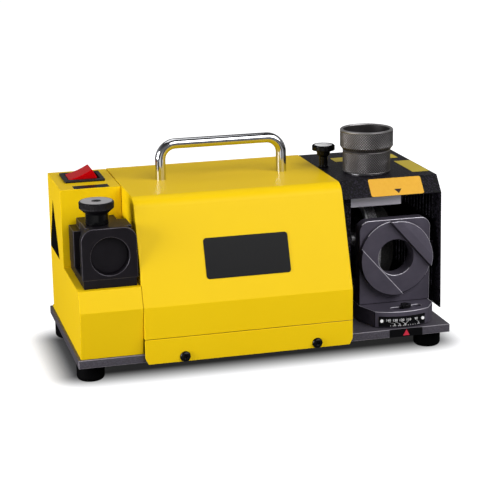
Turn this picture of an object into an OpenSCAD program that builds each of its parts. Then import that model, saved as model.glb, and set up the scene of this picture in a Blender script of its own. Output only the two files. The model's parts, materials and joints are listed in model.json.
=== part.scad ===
// Bench-top drill bit sharpener: two folded steel covers over a motor that turns a
// conical grinding wheel, a swivelling front port for the point angle, a top port
// that holds the collet chuck, and a setting gauge on the left for the drill length.
// Frame: X to the right, Y to the back, Z up, ground at Z = 0, base plate centred.

/* [Base] */
// Length of the base plate from end to end
base_length = 360; // [300:1:432]
// Depth of the base plate from front to back
base_depth = 180; // [170:1:216]
// Thickness of the base plate
base_thick = 8; // [6:0.5:12]
// Height of each rubber foot
foot_height = 18; // [12:1:26]
// Radius of each rubber foot
foot_radius = 13; // [10:0.5:18]

/* [Covers] */
// Height of the top of the switch box and chamber cover above the ground
cover_top = 165; // [155:1:198]
// Thickness of the folded yellow sheet
sheet = 1.5; // [1:0.1:2.5]
// Thickness of the black chamber sheet
chamber_sheet = 1.2; // [1:0.1:2]
// Radius of the fold between the top and the sloped front
bend_radius = 14; // [8:1:20]
// Lean of the sloped front from upright, degrees
slope_angle = 20.4; // [15:0.2:26]
// Height of the crease where the sloped front turns upright
crease_z = 71; // [60:1:80]
// Width of the switch box
box_width = 57.8; // [54:0.2:66]
// Height of the ledge that carries the setting gauge
ledge_z = 90; // [84:1:96]
// Width of the grinding chamber
chamber_width = 99.2; // [96:0.2:104]
// Height of the lower edge of the main cover
seam_z = 41; // [36:1:46]

/* [Handle] */
// Distance between the two legs of the carrying handle
handle_span = 120; // [96:1:144]
// Radius of the handle rod
handle_rod = 5; // [4:0.25:6]
// Height of the rod's centre line above the cover
handle_rise = 34; // [28:1:40]

/* [Wheel and motor] */
// Height of the motor shaft above the ground
shaft_z = 88; // [84:1:94]
// Radius of the grinding wheel at its rim
wheel_radius = 45; // [38:1:46]
// Half of the included angle of a standard point, degrees
half_point = 59; // [45:1:70]
// Radius of the motor frame
motor_radius = 46; // [38:1:47]
// Length of the motor frame
motor_length = 120; // [90:1:124]
// Radius of the motor shaft
shaft_radius = 6; // [5:0.5:7]

/* [Ports and chuck] */
// Radius of the bore in the front port, the top port and the gauge
port_radius = 17.7; // [15:0.1:18]
// Radius of the front port's disc
disc_radius = 36.6; // [32:0.1:37]
// Radius of the swivel's curved front
swivel_radius = 56; // [50:0.5:57]
// Outer radius of the chuck's lower ring
chuck_ring_radius = 23.2; // [20:0.1:25]
// Outer radius of the chuck's upper ring
chuck_nut_radius = 25.8; // [22:0.1:28]
// Turn from the rest setting to the sharpest setting, degrees
turn_down = 14; // [8:1:14]
// Turn from the rest setting to the bluntest setting, degrees
turn_up = 11; // [5:1:11]

/* [Fits] */
// Radial clearance of a pin that turns or slides in its bore
running = 0.05; // [0.02:0.01:0.1]
// Radial clearance of a screw in its own hole
screw_fit = 0.05; // [0.02:0.01:0.1]
// Space between bodies that move past each other
gap = 0.3; // [0.2:0.05:0.6]

/* [Hidden] */
$fn = 96;
eps = 0.01;
L = base_length; D = base_depth;
base_z0 = foot_height; base_z1 = foot_height + base_thick;
x_left = -L/2 + 2.6;                 // outer face of the switch box
x_seam = x_left + box_width;         // right face of the switch box
x_main0 = x_seam + 0.4;              // left face of the main cover
x_main1 = L/2 - chamber_width - 0.6; // right edge of the main cover
x_ch0 = L/2 - chamber_width;         // left edge of the chamber cover
x_ch1 = L/2;                         // right face of the chamber cover
y_back = D/2 - 10;                   // back face of every cover
y_front = -D/2 - 4;                  // upright front face of the main cover
y_niche = -2.5;                      // front face of the switch box above the ledge
z_main = cover_top + 0.5;            // top of the main cover
rear_flange = 8;
// Centre of the fold, placed so that the slope meets the crease on the front face
bend_y = y_front + bend_radius*cos(slope_angle)
  + (z_main - bend_radius + bend_radius*sin(slope_angle) - crease_z)*tan(slope_angle);
bend_z = z_main - bend_radius;
function tangent_point(r) = [bend_y - r*cos(slope_angle), bend_z + r*sin(slope_angle)];
function slope_y(z, t) = let (q = tangent_point(bend_radius - t)) q[0] - (q[1] - z)*tan(slope_angle);
function slope_z(y, t) = let (q = tangent_point(bend_radius - t)) q[1] - (q[0] - y)/tan(slope_angle);

// Positions shared by several pieces
foot_x = L/2 - 14.3; foot_y = D/2 - 24;
pivot_x = x_ch1 - 44.3; pivot_y = y_front + 63;
wheel_x0 = pivot_x - 17.7; wheel_cyl = 10; wheel_len = 28;
cone_r = wheel_radius - (pivot_x - wheel_x0 - wheel_cyl)/tan(half_point);
shaft_y = pivot_y + cone_r + 0.6;
chuck_x = x_ch0 + 40.2; chuck_y = pivot_y + 17;
x_mid = (x_main0 + x_main1)/2 + 1.5;
motor_x1 = x_ch0 - 26; motor_x0 = motor_x1 - motor_length;
part_x = x_ch0 + 0.3; part_t = 2;
strip_y0 = -50; strip_y1 = -63; strip_drop = 15;
wall_z = 35.5; wall_y = -66;
swivel_z0 = base_z1 + gap; swivel_z1 = swivel_z0 + 15.7;
plate_y0 = pivot_y - 24; plate_t = 12; plate_w = 73.6; plate_h = 83;
disc_z = shaft_z; disc_t = 4; cam_t = 4.6; cam_half = 18.9;
pin_r = 6; m5 = 2.5; m6 = 3; m4 = 2;
scale_t = 0.8;
bush_r = 21.2; top_plate_z0 = cover_top - 27.2; top_plate_t = 12;
bush_top = cover_top + 0.6;
chuck_z0 = bush_top + gap; ring_h = 21.2; nut_h = 20;
knob_x = x_ch0 + 5.7; knob_y = 15; knob_stem = 2.95;
hinge_x = x_left + 28.6; hinge_y = 45; hinge_z = cover_top - 2.5; rocker_tilt = 21;
sw_w = 16.4;                         // half width of the switch body below its bezel
bez_x = 38.8; bez_y = 40;
g_x0 = x_left + 5.4; g_x1 = g_x0 + 51; g_y0 = slope_y(ledge_z, 0) + 4.4; g_t = 9;
g_cx = g_x0 + 26; g_cz = ledge_z + 29.3; g_rail = 8; g_top = ledge_z + 55.5;
g_knob_x = g_x0 + 19; g_knob_y = -60; neck_r = 10.5;
nut_ring = chuck_nut_radius;

// Extrude a (y, z) outline from x0 to x1
module along_x(x0, x1) {
  translate([x0, 0, 0]) rotate([90, 0, 90]) linear_extrude(height = x1 - x0) children();
}
// Extrude an (x, z) outline from y0 to y1
module along_y(y0, y1) {
  translate([0, y1, 0]) rotate([90, 0, 0]) linear_extrude(height = y1 - y0) children();
}
module box(x0, x1, y0, y1, z0, z1) {
  translate([x0, y0, z0]) cube([x1 - x0, y1 - y0, z1 - z0]);
}
module rod_z(x, y, z0, z1, r) { translate([x, y, z0]) cylinder(h = z1 - z0, r = r); }
module rod_y(x, z, y0, y1, r) { translate([x, y0, z]) rotate([-90, 0, 0]) cylinder(h = y1 - y0, r = r); }
module rod_x(y, z, x0, x1, r) { translate([x0, y, z]) rotate([0, 90, 0]) cylinder(h = x1 - x0, r = r); }
// Hexagonal socket cut, pointing down from the origin
module hex_cut(r, h) { translate([0, 0, -h]) cylinder(h = h + eps, r = r, $fn = 6); }
// Button-head screw: underside of the head at the origin, thread pointing down
module button_screw(r, head_r, head_h, len) {
  difference() {
    union() {
      translate([0, 0, -len]) cylinder(h = len + eps, r = r);
      rotate_extrude() polygon([[0, 0], [head_r, 0], [head_r, head_h*0.35], [head_r*0.8, head_h*0.8],
        [head_r*0.5, head_h], [0, head_h]]);
    }
    translate([0, 0, head_h]) hex_cut(r*0.8, head_h*0.7);
  }
}
// Cap screw: underside of the head at the origin, thread pointing down
module cap_screw(r, head_r, head_h, len) {
  difference() {
    union() {
      translate([0, 0, -len]) cylinder(h = len + eps, r = r);
      cylinder(h = head_h, r = head_r);
    }
    translate([0, 0, head_h]) hex_cut(r*0.9, head_h*0.55);
  }
}
module rounded_rect(x0, x1, y0, y1, r) {
  union() {
    translate([x0 + r, y0]) square([x1 - x0 - 2*r, y1 - y0]);
    translate([x0, y0 + r]) square([x1 - x0, y1 - y0 - 2*r]);
    for (x = [x0 + r, x1 - r], y = [y0 + r, y1 - r]) translate([x, y]) circle(r);
  }
}
// Front port outline: a rectangle whose two upper corners are round
module arch_rect(x0, x1, z0, z1, r) {
  union() {
    translate([x0, z0]) square([x1 - x0, z1 - z0 - r]);
    translate([x0 + r, z0]) square([x1 - x0 - 2*r, z1 - z0]);
    for (x = [x0 + r, x1 - r]) translate([x, z1 - r]) circle(r);
  }
}

// Fixing points
foot_pts = [[-foot_x, -foot_y], [foot_x, -foot_y], [-foot_x, foot_y], [foot_x, foot_y]];
flange_pts = [for (x = [x_left + 14, x_seam - 14, x_main0 + 20, x_mid, x_main1 - 20, x_ch0 + 20, x_ch1 - 20])
  [x, y_back + rear_flange*0.55]];
skirt_pts = [x_mid - 64, x_mid + 63];
motor_pts = [for (x = [motor_x0 + 18, motor_x1 - 18], y = [shaft_y - 46, shaft_y + 46]) [x, y]];
part_pts = [[part_x + 12, 66], [part_x + 12, 30]];
port_screw_pts = [[pivot_x - 26, plate_y0 + plate_t/2], [pivot_x + 26, plate_y0 + plate_t/2]];
clamp_angle = 6; clamp_r = 44;
clamp_x = pivot_x + clamp_r*sin(clamp_angle); clamp_y = pivot_y - clamp_r*cos(clamp_angle);
rail_pts = [[g_cx - 17, g_y0 + 26], [g_cx + 17, g_y0 + 26], [g_cx, -3 - 12]];

// ---------------------------------------------------------------- base
module base_plate() {
  color("#3c3c40") difference() {
    box(-L/2, L/2, -D/2, D/2, base_z0, base_z1);
    for (q = foot_pts) rod_z(q[0], q[1], base_z0 - 1, base_z1 + 1, m6 + screw_fit);
    for (q = flange_pts) rod_z(q[0], q[1], base_z0 - 1, base_z1 + 1, m5 + screw_fit);
    for (q = motor_pts) rod_z(q[0], q[1], base_z0 - 1, base_z1 + 1, m6 + screw_fit);
    for (q = part_pts) rod_z(q[0], q[1], base_z0 - 1, base_z1 + 1, m5 + screw_fit);
    for (x = skirt_pts) rod_y(x, base_z0 + base_thick/2, -D/2 - 1, -D/2 + 14, m5 + screw_fit);
    rod_z(pivot_x, pivot_y, base_z0 - 1, base_z1 + 1, pin_r + screw_fit);
    rod_z(clamp_x, clamp_y, base_z0 - 1, base_z1 + 1, m6 + screw_fit);
  }
}
module rubber_feet() {
  e = 4;
  color("#141414") for (q = foot_pts) translate([q[0], q[1], 0]) difference() {
    rotate_extrude() union() {
      translate([0, e]) square([foot_radius, foot_height - e]);
      square([foot_radius - e, foot_height]);
      translate([foot_radius - e, e]) circle(e);
    }
    translate([0, 0, -1]) cylinder(h = foot_height + 2, r = m6 + screw_fit);
    translate([0, 0, -1]) cylinder(h = 7 + 1, r = 6.4);
  }
}
module foot_screws() {
  color("#8c8c90") for (q = foot_pts) translate([q[0], q[1], 7]) mirror([0, 0, 1])
    cap_screw(m6, 6, 4.5, foot_height - 7 + base_thick);
}

// ---------------------------------------------------------------- yellow covers
module box_outline(t) {
  polygon([[y_back - t, base_z1 - t*2], [y_back - t, cover_top - t], [y_niche + t, cover_top - t],
    [y_niche + t, ledge_z - t], [slope_y(ledge_z - t, t), ledge_z - t],
    [y_front + t, slope_z(y_front + t, t)], [y_front + 6 + t, base_z1 - t*2]]);
}
// Section of the switch box's skin, cut to the (y, z) window from y0, z0 to y1, z1
module box_strip(y0, y1, z0, z1) {
  intersection() {
    difference() {
      box_outline(0);
      box_outline(sheet);
    }
    translate([y0, z0]) square([y1 - y0, z1 - z0]);
  }
}
// Upper part of the switch box: the wall behind the gauge and the top, folded from one sheet
module switch_box() {
  color("#f5c518") difference() {
    along_x(x_left, x_seam) union() {
      box_strip(y_niche, y_niche + sheet, ledge_z - sheet, cover_top);
      box_strip(y_niche, y_back, cover_top - sheet, cover_top);
    }
    box(hinge_x - sw_w - 0.1, hinge_x + sw_w + 0.1, hinge_y - 15.5, hinge_y + 15.5, cover_top - 5, cover_top + 5);
  }
}
// Lower front of the switch box: upright front, slope and ledge
module box_front() {
  color("#f5c518") difference() {
    along_x(x_left, x_seam) box_strip(-D, y_niche, base_z1, ledge_z);
    for (q = rail_pts) rod_z(q[0], q[1], ledge_z - 5, ledge_z + 1, m5 + screw_fit);
  }
}
// Rear of the switch box, with the hole for the cord's gland and the flange that is screwed down
module box_rear() {
  color("#f5c518") difference() {
    union() {
      along_x(x_left, x_seam) box_strip(y_back - sheet, y_back, base_z1, cover_top - sheet);
      box(x_left, x_seam, y_back - 1, y_back + rear_flange, base_z1, base_z1 + sheet);
    }
    for (i = [0, 1]) rod_z(flange_pts[i][0], flange_pts[i][1], base_z1 - 1, base_z1 + 5, m5 + screw_fit);
    rod_y((x_left + x_seam)/2, 60, y_back - 5, y_back + 5, 8 + screw_fit);
  }
}
// End sheet of the switch box, welded in flush with the wrapper's edge
module box_end(x) {
  along_x(x, x + sheet) intersection() {
    box_outline(sheet);
    translate([-D, base_z1]) square([2*D, cover_top]);
  }
}
module box_end_left() { color("#f5c518") box_end(x_left); }
module box_end_right() { color("#f5c518") box_end(x_seam - sheet); }
module main_outline(t) {
  union() {
    polygon([[y_back - t, seam_z - t*4], [y_back - t, z_main - t], [bend_y, z_main - t],
      tangent_point(bend_radius - t), [y_front + t, slope_z(y_front + t, t)], [y_front + t, seam_z - t*4]]);
    translate([bend_y, bend_z]) circle(bend_radius - t);
  }
}
module main_cover() {
  color("#f5c518") difference() {
    union() {
      along_x(x_main0, x_main1) intersection() {
        main_outline(0);
        translate([-D, seam_z]) square([2*D, cover_top]);
      }
      box(x_main0, x_main1, y_back - sheet, y_back, base_z1, seam_z + 1);
      box(x_main0, x_main1, y_back - 1, y_back + rear_flange, base_z1, base_z1 + sheet);
    }
    along_x(x_main0 + sheet, x_main1 + 1) main_outline(sheet);
    for (i = [2, 3, 4]) rod_z(flange_pts[i][0], flange_pts[i][1], base_z1 - 1, base_z1 + 5, m5 + screw_fit);
    for (s = [-1, 1]) rod_z(x_mid + s*handle_span/2, 12, z_main - 5, z_main + 5, m5 + screw_fit);
    for (x = [0 : 9]) box(x_mid - 60 + x*13, x_mid - 56 + x*13, y_back - 5, y_back + 5, 95, 135);
  }
}
module front_skirt() {
  z0 = foot_height - 1; z1 = seam_z - 0.5; c = 3;
  color("#f5c518") difference() {
    union() {
      along_y(y_front, y_front + sheet) polygon([[x_main0 + c, z0], [x_main1 - c, z0], [x_main1, z0 + 2*c],
        [x_main1, z1], [x_main0, z1], [x_main0, z0 + 2*c]]);
      box(x_main0 + 4, x_main1 - 4, y_front + sheet - eps, -D/2, base_z0 + 1, base_z1 - 1);
    }
    for (x = skirt_pts) rod_y(x, base_z0 + base_thick/2, y_front - 1, -D/2 + 1, m5 + screw_fit);
  }
}
module skirt_screws() {
  color("#1c1c1e") for (x = skirt_pts) translate([x, y_front, base_z0 + base_thick/2])
    rotate([90, 0, 0]) button_screw(m5, 5, 2.8, 14);
}
module cover_screws() {
  color("#1c1c1e") for (i = [0 : 6]) translate([flange_pts[i][0], flange_pts[i][1],
    base_z1 + (i < 5 ? sheet : chamber_sheet)]) button_screw(m5, 3.4, 2.4, 8);
}
module carry_handle() {
  h = z_main + handle_rise; r = handle_rod; b = 15; w = handle_span/2;
  color("#d8d8dc") translate([x_mid, 12, 0]) difference() {
    union() {
      for (s = [-1, 1]) rod_z(s*w, 0, z_main, h - b, r);
      rod_x(0, h, -w + b, w - b, r);
      for (s = [0, 1]) mirror([s, 0, 0]) translate([w - b, 0, h - b]) rotate([90, 0, 0])
        rotate_extrude(angle = 90) translate([b, 0]) circle(r);
    }
    for (s = [-1, 1]) rod_z(s*w, 0, z_main - 1, z_main + 14, m5 + screw_fit);
  }
}
module handle_screws() {
  color("#8c8c90") for (s = [-1, 1]) translate([x_mid + s*handle_span/2, 12, z_main - sheet])
    mirror([0, 0, 1]) cap_screw(m5, 4.25, 5, 12 + sheet);
}
module name_plate() {
  w = 80.5; h = 38; t = 0.6;
  q = tangent_point(bend_radius); top = (q[1] - 126.7)/cos(slope_angle);
  color("#1a1a1c") translate([x_mid - w/2, q[0], q[1]]) rotate([90 - slope_angle, 0, 0])
    translate([0, -top - h, 0]) linear_extrude(height = t) rounded_rect(0, w, 0, h, 3);
}

// ---------------------------------------------------------------- power switch and cord entry
module switch_housing() {
  z0 = cover_top - 26; w = sw_w; d = 15.4;
  color("#161618") difference() {
    union() {
      translate([0, 0, cover_top]) linear_extrude(height = 2.2)
        rounded_rect(hinge_x - bez_x/2, hinge_x + bez_x/2, hinge_y - bez_y/2, hinge_y + bez_y/2, 1.5);
      box(hinge_x - w, hinge_x + w, hinge_y - d, hinge_y + d, z0, cover_top + 1);
      for (x = [-9, 0, 9]) box(hinge_x + x - 0.4, hinge_x + x + 0.4, hinge_y - 3, hinge_y + 3, z0 - 9, z0 + 1);
    }
    box(hinge_x - w + 1.2, hinge_x + w - 1.2, hinge_y - d + 1.2, hinge_y + d - 1.2, z0 + 3, cover_top + 5);
    rod_y(hinge_x, hinge_z, hinge_y - d - 1, hinge_y + d + 1, 1.5 + running);
  }
}
// Rocker outline in (x, z) about its own pivot, level; it is tilted to the off position
module rocker_outline() {
  a = 12.2; ze = 9.4; dip = 1; k = (a*a + dip*dip)/(2*dip);
  difference() {
    polygon([[-a - 1.6, -0.3], [-a, ze], [a, ze], [a + 1.6, -0.3], [5, -6], [-5, -6]]);
    translate([0, ze - dip + k]) circle(k, $fn = 360);
  }
}
module switch_rocker() {
  d = 13.6;
  color("#c4161c") translate([hinge_x, hinge_y, hinge_z]) rotate([0, -rocker_tilt, 0]) union() {
    translate([0, d, 0]) rotate([90, 0, 0]) linear_extrude(height = 2*d) rocker_outline();
    rod_y(0, 0, -d - 1.4, d + 1.4, 1.5);
  }
}
module cable_gland() {
  x = (x_left + x_seam)/2; z = 60;
  color("#1a1a1c") difference() {
    union() {
      rod_y(x, z, y_back - 12, y_back + 1, 8);
      translate([x, y_back, z]) rotate([-90, 0, 0]) cylinder(h = 5, r = 12, $fn = 6);
      rod_y(x, z, y_back + 5 - eps, y_back + 10, 10);
      translate([x, y_back + 10, z]) rotate([-90, 0, 0]) rotate_extrude()
        polygon([[0, -eps], [10, -eps], [9, 2.5], [6, 4.5], [0, 4.5]]);
      translate([x, y_back - sheet - 5, z]) rotate([-90, 0, 0]) cylinder(h = 5, r = 12, $fn = 6);
    }
    rod_y(x, z, y_back - 20, y_back + 20, 4.2);
  }
}

// ---------------------------------------------------------------- grinding chamber
module chamber_outline(t) {
  s = strip_y1 - strip_y0;
  polygon([[y_back - t, base_z1 - 20*t], [y_back - t, cover_top - t], [strip_y0 + t*0.4, cover_top - t],
    [strip_y1 + t*1.15, cover_top - strip_drop - t], [strip_y1 + t*1.15 - 40*t, cover_top - strip_drop - t],
    [-D, base_z1 - 20*t]]);
}
module chamber_cover() {
  t = chamber_sheet; z_strip = cover_top - strip_drop;
  k = [t*1.5*15/19.85, t*1.5*13/19.85];
  color("#2a282e") difference() {
    union() {
      box(x_ch0, x_ch1, strip_y0, y_back, cover_top - t, cover_top);
      along_x(x_ch0, x_ch1) polygon([[strip_y0, cover_top], [strip_y1, z_strip],
        [strip_y1 + k[0], z_strip], [strip_y0 + k[0], cover_top - t]]);
      along_x(x_ch1 - t, x_ch1) polygon([[y_back, wall_z], [y_back, cover_top], [strip_y0, cover_top],
        [strip_y1, z_strip], [wall_y, wall_z]]);
      box(x_ch1 - t, x_ch1, 40, y_back, base_z1, wall_z + 1);
      box(x_ch0, x_ch1, y_back - t, y_back, base_z1, cover_top);
      box(x_ch0, x_ch1, y_back - 1, y_back + rear_flange, base_z1, base_z1 + t);
    }
    for (i = [5, 6]) rod_z(flange_pts[i][0], flange_pts[i][1], base_z1 - 1, base_z1 + 5, m5 + screw_fit);
    for (i = [0 : 12]) {
      y = -43.2 + 8.2*i;
      box(x_ch1 - 5, x_ch1 + 1, y - 1.0, y + 1.0, 119, 149);
      box(x_ch1 - 5, x_ch1 + 1, y - 1.0, y + 1.0, 52, 98);
    }
    rod_z(chuck_x, chuck_y, cover_top - 5, cover_top + 5, bush_r + 0.5);
    rod_z(knob_x, knob_y, cover_top - 5, cover_top + 5, knob_stem + 0.4);
  }
}
module partition() {
  x = part_x; t = part_t; z1 = cover_top - chamber_sheet - 0.1;
  color("#4a484e") difference() {
    union() {
      along_x(x, x + t) polygon([[y_back - 3, base_z1], [y_back - 3, z1], [strip_y0 + 3, z1],
        [strip_y0 - 3, z1 - 14], [strip_y0 - 3, 50], [strip_y0 + 12, base_z1]]);
      box(x, x + 11, strip_y0 - 3, strip_y0 - 1, 58, z1 - 14);
      box(x, x + 14, strip_y0 + 5, y_back - 3, z1 - t, z1);
      box(x, x + 20, 20, y_back - 3, base_z1, base_z1 + t);
    }
    for (q = part_pts) rod_z(q[0], q[1], base_z1 - 1, base_z1 + 5, m5 + screw_fit);
    rod_x(shaft_y, shaft_z, x - 1, x + t + 1, 15);
    for (y = [-30, 2]) rod_x(y, top_plate_z0 + top_plate_t/2, x - 1, x + t + 1, m5 + screw_fit);
    rod_z(knob_x, knob_y, z1 - 5, z1 + 1, knob_stem + running);
  }
}
module partition_screws() {
  color("#8c8c90") for (q = part_pts) translate([q[0], q[1], base_z1 + part_t]) button_screw(m5, 4.6, 2.6, 8);
}
module top_port_plate() {
  y0 = strip_y0 + 2;
  color("#b9bcc2") difference() {
    box(part_x + part_t, chuck_x + 23.5, y0, 2*chuck_y - y0, top_plate_z0, top_plate_z0 + top_plate_t);
    rod_z(chuck_x, chuck_y, top_plate_z0 - 1, top_plate_z0 + 20, bush_r - 1);
    rod_z(chuck_x, chuck_y, top_plate_z0 + top_plate_t - 4, top_plate_z0 + 20, bush_r + screw_fit);
    for (y = [-30, 2]) rod_x(y, top_plate_z0 + top_plate_t/2, part_x, part_x + 16, m5 + screw_fit);
  }
}
module top_port_screws() {
  color("#8c8c90") for (y = [-30, 2]) translate([part_x, y, top_plate_z0 + top_plate_t/2])
    rotate([0, -90, 0]) button_screw(m5, 4.6, 2.4, 14);
}
module top_port_bush() {
  z = top_plate_z0 + top_plate_t;
  color("#8f9096") difference() {
    union() {
      rod_z(chuck_x, chuck_y, z - 4, bush_top, bush_r);
      rod_z(chuck_x, chuck_y, top_plate_z0, z, bush_r - 1 - screw_fit);
    }
    rod_z(chuck_x, chuck_y, top_plate_z0 - 1, bush_top + 1, port_radius);
  }
}

// ---------------------------------------------------------------- swivelling front port
module pivot_pin() {
  color("#8c8c90") rod_z(pivot_x, pivot_y, base_z0, swivel_z1 - 3, pin_r);
}
module clamp_screw() {
  z = swivel_z1 + gap;
  color("#2c2c30") difference() {
    union() {
      rod_z(clamp_x, clamp_y, base_z0, z + 1, m6);
      rod_z(clamp_x, clamp_y, z, z + 3.2, 5);
    }
    translate([clamp_x, clamp_y, z + 3.2]) hex_cut(2.6, 2);
  }
}
module swivel_outline() {
  intersection() {
    polygon([[-36.2, 19], [35.6, 19], [35.6, -35], [25.5, -50.2], [20, -swivel_radius - 5],
      [-22, -swivel_radius - 5], [-28.6, -48.2], [-36.2, -26]]);
    circle(swivel_radius, $fn = 180);
  }
}
module swivel_base() {
  a0 = clamp_angle - turn_up - 4; a1 = clamp_angle + turn_down + 4;
  slot_r = m6 + 0.6;
  color("#34323a") difference() {
    translate([pivot_x, pivot_y, swivel_z0]) linear_extrude(height = swivel_z1 - swivel_z0) difference() {
      swivel_outline();
      circle(pin_r + running);
      rotate(a0 - 90) rotate_slot(clamp_r, a1 - a0, slot_r);
    }
    for (q = port_screw_pts) rod_z(q[0], q[1], swivel_z0 - 1, swivel_z1 + 1, m5 + screw_fit);
    for (q = port_screw_pts) rod_z(q[0], q[1], swivel_z0 - 1, swivel_z0 + 5.4, 4.6);
    for (a = [-23.5, 18.5]) translate([pivot_x, pivot_y, swivel_z0 + 7]) rotate([0, 0, a])
      rod_y(0, 0, -swivel_radius - 2, -swivel_radius + 5, 1 + screw_fit);
  }
}
// Curved slot: band of half width w at radius r, from 0 to a degrees, with round ends
module rotate_slot(r, a, w) {
  union() {
    intersection() {
      difference() { circle(r + w); circle(r - w); }
      polygon([[0, 0], [2*r, 0], [2*r*cos(a/2)/cos(a/2), 2*r*tan(a/2)], [2*r*cos(a), 2*r*sin(a)]]);
    }
    translate([r, 0]) circle(w);
    translate([r*cos(a), r*sin(a)]) circle(w);
  }
}
module port_plate() {
  x0 = pivot_x - plate_w/2 + 1; x1 = x0 + plate_w - 1.4; y1 = plate_y0 + plate_t;
  color("#4c4a52") difference() {
    along_y(plate_y0, y1) difference() {
      arch_rect(x0, x1, swivel_z1, swivel_z1 + plate_h, 10);
      translate([pivot_x, disc_z]) circle(port_radius + 4);
    }
    for (q = port_screw_pts) rod_z(q[0], q[1], swivel_z1 - 1, swivel_z1 + 12, m5 + screw_fit);
  }
}
module port_screws() {
  color("#8c8c90") for (q = port_screw_pts) translate([q[0], q[1], swivel_z0 + 5.4]) mirror([0, 0, 1])
    cap_screw(m5, 4.25, 5, 10.3 + 11);
}
module port_disc() {
  y1 = plate_y0; y0 = y1 - disc_t; yc = y0 - cam_t;
  color("#4c4a52") difference() {
    union() {
      rod_y(pivot_x, disc_z, y0, y1, disc_radius);
      rod_y(pivot_x, disc_z, y1 - 1, y1 + plate_t, port_radius + 4 - screw_fit);
      difference() {
        rod_y(pivot_x, disc_z, yc, y0 + eps, disc_radius);
        translate([pivot_x, 0, disc_z]) rotate([0, 48.5, 0])
          box(-2*disc_radius, 2*disc_radius, yc - 1, y0, -cam_half, cam_half);
      }
    }
    rod_y(pivot_x, disc_z, yc - 1, y1 + plate_t + 1, port_radius);
    // Bevel on the outer part of the upper cam
    translate([pivot_x, yc, disc_z]) rotate([0, 48.5, 0]) translate([0, 0, 27]) rotate([-18, 0, 0])
      box(-60, 60, -10, 0, 0, 30);
  }
}
module scale_plate() {
  a0 = -26.5; a1 = 21.5; r = swivel_radius;
  color("#18181a") translate([pivot_x, pivot_y, swivel_z0 + 1.2]) difference() {
    linear_extrude(height = 10) intersection() {
      difference() { circle(r + scale_t, $fn = 180); circle(r, $fn = 180); }
      polygon([[0, 0], [2*r*sin(a0), -2*r*cos(a0)], [0, -3*r], [2*r*sin(a1), -2*r*cos(a1)]]);
    }
    for (a = [-23.5, 18.5]) rotate([0, 0, a]) rod_y(0, 5.8, -r - 2, -r + 5, 1 + screw_fit);
  }
}
module scale_screws() {
  color("#e8e8ea") for (a = [-23.5, 18.5]) translate([pivot_x, pivot_y, swivel_z0 + 7]) rotate([0, 0, a])
    translate([0, -swivel_radius - scale_t, 0]) rotate([90, 0, 0]) union() {
      translate([0, 0, -4]) cylinder(h = 4.1, r = 1);
      cylinder(h = 0.9, r = 1.6);
    }
}

// ---------------------------------------------------------------- motor and wheel
module motor_frame() {
  r = motor_radius;
  color("#6a6c70") difference() {
    rod_x(shaft_y, shaft_z, motor_x0, motor_x1, r);
    rod_x(shaft_y, shaft_z, motor_x0 - 1, motor_x1 + 1, r - 3);
  }
}
module stator() {
  r = motor_radius - 3; m = (motor_x0 + motor_x1)/2;
  color("#5a4632") difference() {
    rod_x(shaft_y, shaft_z, m - 32, m + 32, r);
    rod_x(shaft_y, shaft_z, m - 33, m + 33, 24.5);
  }
}
module end_bell_at(x, s) {
  r = motor_radius;
  translate([x, shaft_y, shaft_z]) rotate([0, s*90, 0]) difference() {
    rotate_extrude() polygon([[0, 0], [r, 0], [r, 5], [r - 8, 12], [19, 14], [19, 18], [0, 18]]);
    translate([0, 0, -1]) cylinder(h = 7, r = r - 6);
    translate([0, 0, -1]) cylinder(h = 15, r = 11 + screw_fit);
    translate([0, 0, -1]) cylinder(h = 30, r = shaft_radius + 0.5);
    for (a = [0 : 45 : 315]) rotate(a) translate([28, 0, -1]) cylinder(h = 30, r = 4);
  }
}
module end_bell_left() { color("#85878c") end_bell_at(motor_x0, -1); }
module end_bell_right() { color("#85878c") end_bell_at(motor_x1, 1); }
module bearings() {
  color("#b8bac0") for (s = [[motor_x0, -1], [motor_x1, 1]]) translate([s[0], shaft_y, shaft_z])
    rotate([0, s[1]*90, 0]) translate([0, 0, 6]) difference() {
      cylinder(h = 8, r = 11);
      translate([0, 0, -1]) cylinder(h = 10, r = shaft_radius + running);
    }
}
module motor_mount() {
  x0 = motor_x0 + 8; x1 = motor_x1 - 8; r = motor_radius;
  color("#3c3c40") difference() {
    union() {
      box(x0, x1, shaft_y - 54, shaft_y + 54, base_z1, base_z1 + 5);
      for (x = [x0 + 16, x1 - 28]) box(x, x + 12, shaft_y - 36, shaft_y + 36, base_z1, shaft_z - 24);
    }
    rod_x(shaft_y, shaft_z, x0 - 1, x1 + 1, r);
    for (q = motor_pts) rod_z(q[0], q[1], base_z1 - 1, base_z1 + 9, m6 + screw_fit);
  }
}
module motor_screws() {
  color("#8c8c90") for (q = motor_pts) translate([q[0], q[1], base_z1 + 5]) cap_screw(m6, 5, 6, 5 + base_thick);
}
module rotor_shaft() {
  r = shaft_radius;
  color("#b8bac0") union() {
    rod_x(shaft_y, shaft_z, motor_x0 - 30, wheel_x0 - 8, r);
    rod_x(shaft_y, shaft_z, wheel_x0 - 8 - eps, wheel_x0 + wheel_len + 10, r - 1);
  }
}
module rotor_core() {
  m = (motor_x0 + motor_x1)/2;
  color("#777a80") difference() {
    rod_x(shaft_y, shaft_z, m - 31, m + 31, 24);
    rod_x(shaft_y, shaft_z, m - 32, m + 32, shaft_radius);
  }
}
module cooling_fan() {
  x = motor_x0 - 27; 
  color("#202022") difference() {
    union() {
      rod_x(shaft_y, shaft_z, x, x + 8, 12);
      for (a = [0 : 45 : 315]) translate([x, shaft_y, shaft_z]) rotate([a, 0, 0])
        box(0.5, 7.5, 10, 34, -1, 1);
    }
    rod_x(shaft_y, shaft_z, x - 1, x + 9, shaft_radius);
  }
}
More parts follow.
